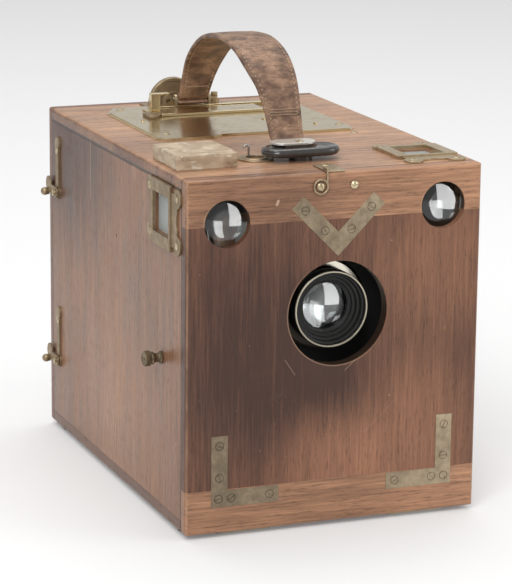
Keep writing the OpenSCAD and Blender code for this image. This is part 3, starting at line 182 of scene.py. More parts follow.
# Boxes of the separate solids that one node holds, as (lowest, highest)
def islands(node):
    bm = bmesh.new()
    bm.from_mesh(nodes[node].data)
    bmesh.ops.remove_doubles(bm, verts=bm.verts, dist=2e-6)
    unseen, boxes = set(bm.verts), []
    while unseen:
        reach = [unseen.pop()]
        low, high = reach[0].co.copy(), reach[0].co.copy()
        while reach:
            vert = reach.pop()
            low, high = Vector(map(min, low, vert.co)), Vector(map(max, high, vert.co))
            for edge in vert.link_edges:
                other = edge.other_vert(vert)
                if other in unseen:
                    unseen.discard(other)
                    reach.append(other)
        boxes.append((low, high))
    bm.free()
    return sorted(boxes, key=lambda box: tuple(box[0]))


# Centre in the front's face, and radius, of each round finder lens
finders = [(((low.x + high.x) / 2, caseFront, (low.z + high.z) / 2), (high.x - low.x) / 2)
           for low, high in islands("finder_lenses")]

# Wood: dark and light are the tones of the grain, which runs along one axis. lift is its mean tone, fine and
# cloud its contrast, lipped says that the top board's joint crosses it, and trim darkens it along the sides
# of the case. On the top the tones and lift are set paler as painted light. A spot is a centre, a reach and a
# change of tone: on the front, the rails and the sides the spots are painted light and shade, and on the top
# they are darker patches. A mark is a line, its half width and how pale it is, and a bore the centre and
# radius of a hole, whose rim gets a painted highlight at its lower left and whose walls get painted shade
plainWood = {"lipped": False, "trim": 0, "lightAndToneSpots": [], "marks": [], "bores": []}
woods = {
    "front_wood": plainWood | {
        "grain": 2, "dark": rgb(0.050, 0.018, 0.010), "light": rgb(0.34, 0.155, 0.085),
        "lift": 0.28, "fine": 0.46, "cloud": 0.32,
        # painted light and shade: darker left of the lens, lighter to the right and low down
        "lightAndToneSpots": [((-0.040, caseFront, 0.112), 0.108, -0.27), ((-0.098, caseFront, 0.180), 0.060, -0.09),
                  ((0.075, caseFront, 0.175), 0.075, 0.27), ((0.050, caseFront, 0.050), 0.085, 0.32),
                  ((-0.005, caseFront, 0.040), 0.060, 0.38), ((0.006, caseFront, 0.092), 0.045, -0.16)],
        "marks": [((-0.0356, caseFront, 0.1155), (-0.0283, caseFront, 0.1046), 0.00022, 0.30),
                  ((0.0147, caseFront, 0.1111), (0.0076, caseFront, 0.1048), 0.00024, 0.28),
                  ((0.022, caseFront, 0.060), (0.046, caseFront, 0.082), 0.0002, 0.14)],
        "bores": [(lensCentre, apertureRadius)]},
    "rail_wood": plainWood | {
        "grain": 0, "dark": rgb(0.075, 0.030, 0.016), "light": rgb(0.52, 0.27, 0.15),
        "lift": 0.54, "fine": 0.70, "cloud": 0.30,
        # painted light and shade: darker at the top rail's left, lighter to the right
        "lightAndToneSpots": [((-0.055, caseFront, 0.222), 0.080, -0.24), ((0.095, caseFront, 0.226), 0.060, 0.15),
                  ((0.085, caseFront, 0.005), 0.070, 0.16)],
        "marks": [((-0.0425, caseFront, 0.2205), (-0.0415, caseFront, 0.2230), 0.0010, 0.55)],
        "bores": finders},
    "side_wood": plainWood | {
        "grain": 2, "dark": rgb(0.075, 0.030, 0.016), "light": rgb(0.50, 0.255, 0.14),
        "lift": 0.39, "fine": 0.66, "cloud": 0.34, "lipped": True,
        # painted light and shade: darker high up, lighter low down where the floor throws light back
        "lightAndToneSpots": [((-caseSide, 0.100, 0.235), 0.130, -0.46), ((-caseSide, -0.020, 0.040), 0.120, 0.20)],
        "marks": [((-caseSide, 0.050, 0.233), (-caseSide, 0.050, 0.191), 0.0016, 0.18),
                  ((-caseSide, -0.046, 0.234), (-caseSide, -0.046, 0.224), 0.0035, 0.14),
                  ((-caseSide, -0.133, 0.060), (-caseSide, -0.127, 0.055), 0.0003, 0.32),
                  ((-caseSide, -0.127, 0.055), (-caseSide, -0.132, 0.049), 0.0003, 0.32),
                  ((-caseSide, -0.132, 0.049), (-caseSide, -0.128, 0.044), 0.0003, 0.32)]},
    "top_wood": plainWood | {
        # the top's paler tones and higher lift are painted light, where it faces the lamps
        "grain": 0, "dark": rgb(0.12, 0.050, 0.027), "light": rgb(0.62, 0.36, 0.21),
        "lift": 0.54, "fine": 0.95, "cloud": 0.80, "lipped": True, "trim": 0.34,
        "lightAndToneSpots": [((-0.101, -0.037, caseTop), 0.050, -0.15), ((0.040, -0.090, caseTop), 0.060, -0.09),
                  ((-0.020, -0.120, caseTop), 0.040, -0.06)]},
    "door_wood": plainWood | {
        "grain": 2, "dark": rgb(0.07, 0.027, 0.014), "light": rgb(0.38, 0.175, 0.095),
        "lift": 0.38, "fine": 0.50, "cloud": 0.26},
    "base_wood": plainWood | {
        "grain": 1, "dark": rgb(0.06, 0.024, 0.013), "light": rgb(0.30, 0.14, 0.075),
        "lift": 0.36, "fine": 0.50, "cloud": 0.26},
}


def wood(name, look):
    shade = Shade(name)

    def rates(across, along):
        return tuple(along if axis == look["grain"] else across for axis in range(3))

    broad = shade.noise(rates(12, 3.0), 2, 0.5, 3.1)
    cloud = shade.noise(rates(46, 17), 3, 0.6, 6.3)
    ribbon = shade.noise(rates(95, 4.5), 3, 0.55, 7.7)
    streak = shade.noise(rates(640, 22), 3, 0.6, 1.3)
    pore = shade.noise(rates(1500, 120), 2, 0.6, 5.5).band(0.54, 0.72)
    tone = (look["lift"] + (broad - 0.5) * 0.28 + (cloud - 0.5) * look["cloud"] + (ribbon - 0.5) * 0.34
            + (streak - 0.5) * look["fine"])
    for centre, reach, amount in look["lightAndToneSpots"]:
        tone = tone + shade.distance(centre).band(reach, reach * 0.15) * amount
    across = caseSide - shade.x.size()
    if look["trim"]:
        tone = tone - across.band(0.0014, 0.0006) * look["trim"]
    colour = shade.mixed(tone, look["dark"], look["light"])
    grain = (streak - 0.5) * look["fine"] + (ribbon - 0.5) * 0.15 + 1.0
    colour = shade.mixed(1.0, colour, grain, "MULTIPLY")
    colour = shade.mixed(pore * 0.5, colour, rgb(0.028, 0.012, 0.007))
    # edges are paler: rubbed wear along them with a painted highlight on it, and round the holes a painted
    # highlight only at their lower left
    patchy = 0.35 + shade.noise((60, 60, 60), 2, 0.5, 2.0).band(0.35, 0.62) * 0.65
    rubbed = shade.edgeDistance().band(0.0021, 0.0007) * patchy
    for centre, radius in look["bores"]:
        highlitLowerLeft = (shade.z + shade.x - centre[2] - centre[0]).band(radius * 0.5, -radius * 0.6)
        rim = (shade.distance(centre) - radius - 0.0004).size().band(0.0006, 0.0002)
        rubbed = rubbed.most(rim * highlitLowerLeft * 0.7)
    colour = shade.mixed(rubbed * 0.42, colour, rgb(0.56, 0.34, 0.21))
    # the walls of the holes are darkened: painted shade
    for centre, radius in look["bores"]:
        paintedBoreShade = shade.distance(centre).band(radius + 0.0036, radius + 0.0028)
        inside = (shade.y - caseFront).band(0.0004, 0.0010) * paintedBoreShade
        colour = shade.mixed(inside * 0.92, colour, rgb(0.018, 0.011, 0.008))
    # the joints of the boards hold dirt
    outside = across.least(shade.z.least(caseTop - shade.z)).band(0.0030, 0.0012)
    joint = (shade.y.size() - (caseRear - boardThick)).size().band(0.0010, 0.0004) * outside
    if look["lipped"]:
        lip = shade.noise((150, 150, 150), 2, 0.5, 3.3) * 0.0012
        below = (caseTop - boardThick - shade.z + lip).size().band(0.0016, 0.0006)
        joint = joint.most(below * across.band(0.0030, 0.0012))
    colour = shade.mixed(joint * 0.8, colour, rgb(0.016, 0.008, 0.005))
    for start, end, wide, amount in look["marks"]:
        line = shade.fromLine(start, end).band(wide * 1.3, wide * 0.5)
        colour = shade.mixed(line * amount, colour, rgb(0.62, 0.45, 0.31))
    # fine light scratches at two slants, and a few bruises
    for angle, shift in ((0.5, 2.0), (-0.85, 9.0)):
        line = shade.noise((900, 900, 22), 1, 0.5, shift, shade.turned((angle, angle, 0)))
        here = shade.noise((26, 26, 26), 2, 0.5, shift).band(0.62, 0.74)
        scratch = (line - 0.5).size().band(0.006, 0.001) * here
        colour = shade.mixed(scratch * 0.35, colour, rgb(0.52, 0.34, 0.22))
    bruise = shade.noise((210, 210, 210), 1, 0.5, 4.4).band(0.79, 0.83)
    colour = shade.mixed(bruise * 0.4, colour, rgb(0.42, 0.27, 0.17))
    roughness = 0.34 + (streak - 0.5) * 0.2 + pore * 0.2 + (cloud - 0.5) * 0.3 + rubbed * 0.1
    shade.set(Base_Color=colour, Roughness=roughness, Specular_IOR_Level=0.42)
    shade.bump((streak * 0.4 - pore * 1.0) * 0.6 - bruise * 0.8 - joint * 1.5, 0.00012, 0.6)
    return shade.material


# Metals: clean and dull are the polished and the tarnished colour, wear the share that is polished, band how
# softly they meet, and the lean, painted light, how the share grows to the right of the lens and above it,
# for each metre
metals = {
    "aged_brass": {"clean": rgb(0.56, 0.45, 0.29), "dull": rgb(0.27, 0.20, 0.125), "wear": 0.52,
                   "rough": (0.30, 0.50), "metal": 0.90, "paintedLightLean": (1.3, 0), "band": (0.25, 0.80)},
    "strap_brass": {"clean": rgb(0.47, 0.375, 0.25), "dull": rgb(0.19, 0.146, 0.096), "wear": 0.46,
                    "rough": (0.38, 0.54), "metal": 0.70, "paintedLightLean": (1.6, 0), "band": (0.20, 0.85)},
    "dark_brass": {"clean": rgb(0.30, 0.235, 0.145), "dull": rgb(0.10, 0.074, 0.046), "wear": 0.46,
                   "rough": (0.30, 0.52), "metal": 0.85, "paintedLightLean": (0, 0), "band": (0.36, 0.68)},
    "polished_brass": {"clean": rgb(0.72, 0.60, 0.38), "dull": rgb(0.56, 0.44, 0.26), "wear": 0.62,
                       "rough": (0.14, 0.30), "metal": 1.0, "paintedLightLean": (0, 0), "band": (0.36, 0.70)},
    "screw_brass": {"clean": rgb(0.66, 0.56, 0.37), "dull": rgb(0.34, 0.26, 0.16), "wear": 0.58,
                    "rough": (0.26, 0.50), "metal": 0.95, "paintedLightLean": (0, 0), "band": (0.36, 0.70)},
    # the flange: painted shade over most of it, with a painted highlight at its upper right
    "pale_brass": {"clean": rgb(0.80, 0.75, 0.64), "dull": rgb(0.07, 0.062, 0.05), "wear": 0.50,
                   "rough": (0.16, 0.45), "metal": 1.0, "paintedLightLean": (8, 16), "band": (0.30, 0.70)},
    "steel": {"clean": rgb(0.50, 0.49, 0.47), "dull": rgb(0.20, 0.17, 0.15), "wear": 0.50,
              "rough": (0.28, 0.50), "metal": 1.0, "paintedLightLean": (0, 0), "band": (0.36, 0.68)},
    "nickel": {"clean": rgb(0.80, 0.77, 0.71), "dull": rgb(0.58, 0.54, 0.47), "wear": 0.58,
               "rough": (0.34, 0.50), "metal": 0.85, "paintedLightLean": (0, 0), "band": (0.25, 0.80)},
    "black_metal": {"clean": rgb(0.045, 0.043, 0.040), "dull": rgb(0.018, 0.017, 0.016), "wear": 0.40,
                    "rough": (0.35, 0.60), "metal": 0.60, "paintedLightLean": (0, 0), "band": (0.36, 0.68)},
}


def metal(name, look):
    shade = Shade(name)
    patina = shade.noise((180, 180, 180), 5, 0.62, 2.2)
    cloud = shade.noise((38, 38, 38), 3, 0.5, 8.1)
    speck = shade.noise((1500, 1500, 1500), 2, 0.5, 6.0).band(0.62, 0.72)
    rightward, upward = look["paintedLightLean"]
    # the polished share is partly wear and partly painted light, growing to the right and upwards
    share = (patina * 0.6 + cloud * 0.4 + (look["wear"] - 0.5) + (shade.x - lensCentre.x) * rightward
             + (shade.z - lensCentre.z) * upward).band(*look["band"])
    colour = shade.mixed(share, look["dull"], look["clean"])
    colour = shade.mixed(speck * 0.35, colour, rgb(0.06, 0.045, 0.03))
    brushed = shade.noise((2400, 130, 900), 2, 0.5, 1.0)
    smooth, rough = look["rough"]
    shade.set(Base_Color=colour, Metallic=look["metal"],
              Roughness=rough - share * (rough - smooth) + speck * 0.15 + (brushed - 0.5) * 0.08)
    shade.bump(patina * 0.5 + brushed * 0.25 - speck * 0.4, 0.00006, 0.45)
    return shade.material


def leather(name):
    shade = Shade(name)
    pebble = shade.noise((1300, 1300, 1300), 3, 0.6, 1.7)
    crease = shade.noise((160, 900, 900), 3, 0.6, 4.1).band(0.52, 0.68)
    worn = shade.noise((70, 90, 90), 4, 0.62, 9.3)
    colour = shade.mixed(worn.band(0.34, 0.70), rgb(0.105, 0.056, 0.034), rgb(0.34, 0.20, 0.125))
    colour = shade.mixed(crease * 0.35, colour, rgb(0.060, 0.030, 0.019))
    scuffed = (shade.noise((420, 420, 420), 3, 0.65, 3.0) + worn * 0.5).band(0.86, 1.02)
    colour = shade.mixed(scuffed * 0.6, colour, rgb(0.52, 0.37, 0.25))
    shade.set(Base_Color=colour, Roughness=0.50 + (worn - 0.5) * 0.35 + crease * 0.12,
              Specular_IOR_Level=0.45)
    shade.bump(pebble * 0.8 - crease * 0.9 + worn * 0.4, 0.00028, 0.8)
    return shade.material


# Black lacquer on brass, rubbed through to bright metal on the hood's front rim
def lacquer(name):
    shade = Shade(name)
    worn = shade.noise((900, 900, 900), 3, 0.6, 3.0)
    rim = (shade.y - hoodFront + (worn - 0.5) * 0.0003).band(0.0009, 0.0004)
    scuffed = (shade.noise((260, 260, 260), 3, 0.6) * 0.6 + worn * 0.4).band(0.62, 0.68) * 0.25
    share = rim.most(scuffed)
    colour = shade.mixed(share, rgb(0.010, 0.0095, 0.009), rgb(0.50, 0.45, 0.35))
    shade.set(Base_Color=colour, Metallic=share, Roughness=0.42 + (worn - 0.5) * 0.3 - share * 0.12,
              Specular_IOR_Level=0.30)
    shade.bump(worn, 0.00004, 0.4)
    return shade.material


def thread(name):
    shade = Shade(name)
    twist = shade.noise((2600, 2600, 2600), 1, 0.5)
    shade.set(Base_Color=shade.mixed(twist, rgb(0.24, 0.155, 0.095), rgb(0.46, 0.33, 0.22)), Roughness=0.75)
    shade.bump(twist, 0.0001)
    return shade.material


def paleWood(name):
    shade = Shade(name)
    fibre = shade.noise((40, 520, 520), 4, 0.6, 2.0)
    patch = shade.noise((75, 75, 140), 4, 0.6, 5.0).band(0.42, 0.60)
    colour = shade.mixed(fibre * 0.6 + patch * 0.4, rgb(0.27, 0.185, 0.115), rgb(0.58, 0.47, 0.33))
    rubbed = shade.noise((120, 190, 300), 3, 0.6, 1.0).band(0.58, 0.64)
    colour = shade.mixed(rubbed * 0.75, colour, rgb(0.64, 0.58, 0.48))
    stain = shade.noise((95, 240, 240), 3, 0.6, 7.0).band(0.62, 0.70)
    colour = shade.mixed(stain * 0.45, colour, rgb(0.15, 0.10, 0.065))
    shade.set(Base_Color=colour, Roughness=0.62 - rubbed * 0.12)
    shade.bump(fibre * 0.4 + rubbed * 0.8 - stain * 0.3, 0.0002, 0.7)
    return shade.material


def gloss(name, dark, light, rough, coat=0.0):
    shade = Shade(name)
    cloud = shade.noise((240, 240, 240), 4, 0.6)
    shade.set(Base_Color=shade.mixed(cloud, dark, light), Roughness=rough + (cloud - 0.5) * 0.2,
              Coat_Weight=coat, Coat_Roughness=0.08)
    shade.bump(shade.noise((900, 900, 900), 2, 0.5), 0.00005, 0.5)
    return shade.material


def glass(name):
    shade = Shade(name)
    smear = shade.noise((90, 90, 90), 3, 0.6)
    shade.set(Base_Color=rgb(0.93, 0.95, 0.95), Roughness=smear * 0.02, IOR=1.62, Transmission_Weight=1.0,
              Specular_IOR_Level=1.0)
    return shade.material


def groundGlass(name):
    shade = Shade(name)
    frost = shade.noise((1500, 1500, 1500), 1, 0.5)
    shade.set(Base_Color=rgb(0.62, 0.65, 0.63), Roughness=0.35 + frost * 0.2, IOR=1.45,
              Transmission_Weight=0.55)
    return shade.material


def mirror(name):
    shade = Shade(name)
    foxed = shade.noise((220, 220, 220), 4, 0.6).band(0.62, 0.75)
    colour = shade.mixed(foxed, rgb(0.78, 0.79, 0.78), rgb(0.12, 0.10, 0.08))
    shade.set(Base_Color=colour, Metallic=1.0 - foxed, Roughness=0.04 + foxed * 0.4)
    return shade.material


finishes = {name: wood(name, look) for name, look in woods.items()}
finishes.update({name: metal(name, look) for name, look in metals.items()})
finishes.update({
    "handle_leather": leather("handle_leather"), "thread": thread("thread"),
    "pale_wood": paleWood("pale_wood"),
    "lens_lacquer": lacquer("lens_lacquer"),
    "ebonite": gloss("ebonite", rgb(0.012, 0.011, 0.011), rgb(0.05, 0.045, 0.042), 0.22, 0.5),
    "foot_rubber": gloss("foot_rubber", rgb(0.02, 0.018, 0.016), rgb(0.06, 0.055, 0.05), 0.7),
    "dark_paint": gloss("dark_paint", rgb(0.004, 0.004, 0.004), rgb(0.014, 0.013, 0.012), 0.75),
    "lens_glass": glass("lens_glass"), "ground_glass": groundGlass("ground_glass"),
    "mirror_glass": mirror("mirror_glass"),
})
print("finishes made", len(finishes))

# The CAD nodes that stay, and what each is finished with
nodeFinish = {
    "base_wood": ["focus_runners", "magazine_frame"],
    "dark_paint": ["lens_board", "finder_boxes"],
    "aged_brass": ["pinion_bush", "front_hinge_leaves", "front_hook", "focus_pinion", "focus_rack",
                   "pusher_plate"],
    "black_metal": ["plate_sheaths", "front_sheath", "shutter_case", "shutter_blade"],
    "steel": ["pivot_pins", "setting_wire"],
    "ground_glass": ["finder_screens"],
    "mirror_glass": ["finder_mirrors"],
}
covered = set()
for finish, names in nodeFinish.items():
    for name in names:
        nodes[name].data.materials.clear()
        nodes[name].data.materials.append(finishes[finish])
        covered.add(name)


# Finishes a bmesh as a piece on a body, in place of the named nodes
def makePiece(name, bm, body, finish, stands=(), sharp=35):
    bmesh.ops.remove_doubles(bm, verts=bm.verts, dist=1e-7)
    bmesh.ops.recalc_face_normals(bm, faces=bm.faces)
    mesh = bpy.data.meshes.new(name)
    bm.to_mesh(mesh)
    bm.free()
    mesh.polygons.foreach_set("use_smooth", [True] * len(mesh.polygons))
    mesh.set_sharp_from_angle(angle=math.radians(sharp))
    piece = bpy.data.objects.new(name, mesh)
    bpy.context.scene.collection.objects.link(piece)
    mesh.materials.append(finishes[finish])
    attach(piece, body)
    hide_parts(*stands)
    covered.update(stands)
    return piece


# A copy of a node with its hard edges rounded
def rounded(node, body, finish, width):
    bm = bmesh.new()
    bm.from_mesh(nodes[node].data)
    bmesh.ops.remove_doubles(bm, verts=bm.verts, dist=2e-6)
    bmesh.ops.dissolve_limit(bm, angle_limit=math.radians(1), verts=bm.verts, edges=bm.edges)
    piece = makePiece(node + "_finished", bm, body, finish, [node])
    bevel = piece.modifiers.new("edges", "BEVEL")
    bevel.width, bevel.segments, bevel.miter_outer = width, 2, "MITER_ARC"
    bevel.limit_method, bevel.angle_limit = "ANGLE", math.radians(32)
    weighted = piece.modifiers.new("shading", "WEIGHTED_NORMAL")
    weighted.keep_sharp = True


# A profile of (radius, place along the axis) in mm, turned round the axis through centre
def spun(profile, centre, axis, steps=96):
    bm = bmesh.new()
    axis = Vector(axis)
    side = axis.orthogonal().normalized()
    verts = [bm.verts.new(Vector(centre) + (side * r + axis * along) * mm) for r, along in profile]
    edges = [bm.edges.new(pair) for pair in zip(verts, verts[1:])]
    bmesh.ops.spin(bm, geom=verts + edges, cent=centre, axis=axis, angle=2 * math.pi, steps=steps,
                   use_merge=True)
    return bm


# Cuts teeth into what lies further than reach mm from the centre, seen along the third axis
def milled(bm, centre, axes, reach, teeth, depth):
    for vert in bm.verts:
        arm = [vert.co[axis] - centre[axis] for axis in axes]
        if math.hypot(*arm) > reach * mm:
            notch = 1 - depth * max(0.0, math.cos(teeth * math.atan2(arm[1], arm[0])))
            for axis, length in zip(axes, arm):
                vert.co[axis] = centre[axis] + length * notch


# A grid laid by place(u, v); v runs round and closes, and holes at the ends are filled
def wrapped(along, around, place, closed=False):
    bm = bmesh.new()
    bmesh.ops.create_grid(bm, x_segments=along, y_segments=around, size=0.5)
    for vert in bm.verts:
        u, v = round(vert.co.x + 0.5, 5), round(vert.co.y + 0.5, 5) % 1.0
        vert.co = place(u % 1.0 if closed else u, v)
    bmesh.ops.remove_doubles(bm, verts=bm.verts, dist=1e-7)
    if not closed:
        bmesh.ops.holes_fill(bm, edges=[edge for edge in bm.edges if edge.is_boundary], sides=0)
    return bm


def joined(meshes):
    whole = bmesh.new()
    for bm in meshes:
        mesh = bpy.data.meshes.new("part")
        bm.to_mesh(mesh)
        bm.free()
        whole.from_mesh(mesh)
        bpy.data.meshes.remove(mesh)
    return whole


def vertsOf(geom):
    return [part for part in geom if isinstance(part, bmesh.types.BMVert)]


# Turns what was made along Z to point along an axis, and puts it at a place
def aim(bm, axis, place):
    turn = Vector(axis).to_track_quat("Z", "Y").to_matrix().to_4x4()
    bmesh.ops.transform(bm, verts=bm.verts, matrix=turn)
    bmesh.ops.translate(bm, verts=bm.verts, vec=place)


# Camera at the photograph's angle
cameraLook = {"place": (-0.69322, -1.78064, 0.58206), "azimuth": -21.34, "elevation": 13.46, "roll": 0.57,
              "lens": 193.62}


def makeCamera(look):
    turn, rise, roll = (math.radians(look[angle]) for angle in ("azimuth", "elevation", "roll"))
    back = Vector((math.sin(turn) * math.cos(rise), -math.cos(turn) * math.cos(rise), math.sin(rise)))
    level = (-back).cross(Vector((0, 0, 1))).normalized()
    upright = level.cross(-back)
    right = level * math.cos(roll) + upright * math.sin(roll)
    up = upright * math.cos(roll) - level * math.sin(roll)
    data = bpy.data.cameras.new("camera")
    data.sensor_fit, data.sensor_width, data.lens = "HORIZONTAL", 36.0, look["lens"]
    data.clip_start, data.clip_end = 0.05, 60
    camera = bpy.data.objects.new("camera", data)
    camera.matrix_world = Matrix((right, up, back)).transposed().to_4x4()
    camera.location = look["place"]
    bpy.context.scene.collection.objects.link(camera)
    bpy.context.scene.camera = camera


# Studio: a pale floor, soft lamps and an even world. A lamp is a place, a width and a power
studio = {"floor": 0.70, "seen": 0.155, "world": 0.60, "aim": (0, 0, 0.12),
          "lamps": {"key": ((-1.5, -2.0, 2.3), 1.7, 58.0), "fill": ((2.2, -1.6, 1.3), 1.5, 15.0),
                    "top": ((0.2, 0.7, 2.6), 1.8, 27.0)},
          "window": {"turn": 48.0, "away": 0.6, "wide": 0.611, "low": 0.0, "high": 0.8, "power": 13.0}}


def makeLamp(name, place, towards, wide, high, power):
    data = bpy.data.lights.new(name, "AREA")
    data.shape, data.size, data.size_y, data.energy = "RECTANGLE", wide, high, power
    lamp = bpy.data.objects.new(name, data)
    lamp.location = place
    lamp.rotation_euler = Vector(towards).to_track_quat("-Z", "Y").to_euler()
    bpy.context.scene.collection.objects.link(lamp)
    return lamp


def makeStudio(look):
    bm = bmesh.new()
    bmesh.ops.create_grid(bm, x_segments=1, y_segments=1, size=9)
    bmesh.ops.translate(bm, verts=bm.verts, vec=(0, 3, floorLevel))
    mesh = bpy.data.meshes.new("floor")
    bm.to_mesh(mesh)
    bm.free()
    floor = bpy.data.objects.new("floor", mesh)
    bpy.context.scene.collection.objects.link(floor)
    # the camera, metal and glass see the floor a little brighter than it is
    shade = Shade("floor")
    camera = shade.add("ShaderNodeLightPath", out="Is Camera Ray")
    rays = camera.socket.node.outputs
    glossy, passed = Link(shade, rays["Is Glossy Ray"]), Link(shade, rays["Is Transmission Ray"])
    shown = shade.mixed(camera.most(glossy).most(passed), rgb(0, 0, 0), rgb(*[look["seen"]] * 3))
    shade.set(Base_Color=rgb(*[look["floor"]] * 3), Roughness=0.9, Specular_IOR_Level=0.1,
              Emission_Strength=1.0, Emission_Color=shown)
    mesh.materials.append(shade.material)
    world = bpy.data.worlds.new("studio")
    bpy.context.scene.world = world
    world.use_nodes = True
    light = world.node_tree.nodes["Background"]
    light.inputs["Color"].default_value = rgb(1, 1, 1)
    light.inputs["Strength"].default_value = look["world"]
    for name, (place, size, power) in look["lamps"].items():
        makeLamp(name, place, Vector(look["aim"]) - Vector(place), size, size, power)
    bpy.context.scene.view_settings.view_transform = "Standard"


# A bright window that only the glasses mirror
def makeWindow(look, seenBy):
    turn = math.radians(look["turn"])
    outward = Vector((math.sin(turn), -math.cos(turn), 0))
    place = lensCentre + outward * look["away"]
    place.z = (look["low"] + look["high"]) / 2
    lamp = makeLamp("window", place, -outward, look["wide"], look["high"] - look["low"], look["power"])
    lamp.visible_camera = False
    only = bpy.data.collections.new("window_seen_by")
    for piece in seenBy:
        only.objects.link(piece)
    lamp.light_linking.receiver_collection = only


makeCamera(cameraLook)
makeStudio(studio)
print("camera and studio made")

# Slotted screw heads in the places of a node's screws, in mm; fit is the head's share of its hole
screwLook = {"dome": 0.45, "fit": 0.97, "slotWide": 0.75, "slotDeep": 0.55, "seat": 1.0, "shank": 1.4}
flushLook = {"dome": 0.20, "fit": 0.90, "slotWide": 0.65, "slotDeep": 0.50, "seat": 1.0, "shank": 1.4}
domedLook = {"dome": 1.2, "fit": 0.97, "slotWide": 0.85, "slotDeep": 0.85, "seat": 1.0, "shank": 1.4}
strapHeight = 0.226  # the front's screws above this height hold the hook


def screw(face, axis, radius, length, turn, look):
    rise, seat, shank, wide = look["dome"], look["seat"], look["shank"], look["slotWide"] * mm / 2
    head, tip = radius / mm * look["fit"], -length / mm
    profile = [(0, rise), (head * 0.35, rise * 0.94), (head * 0.65, rise * 0.72), (head * 0.87, rise * 0.35),
               (head, 0), (head, -seat * 0.4), (shank, -seat), (shank, tip), (0, tip)]
    bm = spun(profile, (0, 0, 0), (0, 0, 1), 40)
    bmesh.ops.recalc_face_normals(bm, faces=bm.faces)
    across = Vector((math.cos(turn), math.sin(turn), 0))
    for side in (-1, 1):
        geom = bm.verts[:] + bm.edges[:] + bm.faces[:]
        bmesh.ops.bisect_plane(bm, geom=geom, plane_co=across * wide * side, plane_no=across, dist=1e-7)
    slot = [part for part in bm.faces
            if abs(part.calc_center_median().dot(across)) < wide and part.normal.z > 0.2]
    sunk = bmesh.ops.extrude_face_region(bm, geom=slot)
    bmesh.ops.delete(bm, geom=slot, context="FACES")
    for vert in vertsOf(sunk["geom"]):
        vert.co.z = (rise - look["slotDeep"]) * mm
    aim(bm, axis, face)
    return bm


def screws(node, body, turns, name, look=screwLook, finish="screw_brass", stands=True,
           keep=lambda place: True):
    made = []
    middle = (cadBox[0] + cadBox[1]) / 2
    for index, (low, high) in enumerate(islands(node)):
        size, centre = high - low, (low + high) / 2
        if not keep(centre):
            continue
        spread = [abs(size[(i + 1) % 3] - size[(i + 2) % 3]) for i in range(3)]
        along = spread.index(min(spread))
        outward = 1 if centre[along] > middle[along] else -1
        axis = Vector((0, 0, 0))
        axis[along] = outward
        face = centre.copy()
        face[along] = high[along] if outward > 0 else low[along]
        radius, turn = size[(along + 1) % 3] / 2, turns[index % len(turns)]
        made.append(screw(face, axis, radius, size[along], turn, look))
    makePiece(name, joined(made), body, finish, [node] if stands else [])


screws("case_screws", "case", (0.3, 1.2, 2.4, 0.8, 1.9, 2.9, 0.1, 1.5), "case_screw_heads")
screws("front_screws", "front", (1.75, 0.35, 1.2, 2.2, 0.9, 1.5, 2.7, 0.6), "front_screw_heads", flushLook,
       "strap_brass", keep=lambda place: place.z < strapHeight)
screws("front_screws", "front", (0.35, 1.9), "hook_screw_heads", domedLook, stands=False,
       keep=lambda place: place.z > strapHeight)
print("screws made")

# Lens: hood, stepped barrel, iris ring and flange, in mm. Depths are measured from the front's face, and steps
# are the hood's inner ones, each a radius and a depth behind the hood's front
lensLook = {"hood": 26.3, "hoodWall": 1.5, "hoodLong": 12.0,
            "steps": [(24.2, 3.0), (23.2, 3.4), (22.6, 6.2), (21.0, 6.6), (20.4, 8.6), (18.6, 9.0),
                      (18.1, 10.4), (16.9, 10.9), (16.1, 11.4)],
            "barrel": 20.0, "barrelLong": 26.2, "bore": 16.1,
            "glass": 16.0, "glassAt": 21.0, "glassThick": 6.0,
            "flange": 31.6, "flangeAt": 27.7, "flangeThick": 3.0,
            "iris": 23.8, "irisAt": 22.6, "irisWide": 5.0, "irisTeeth": 60}


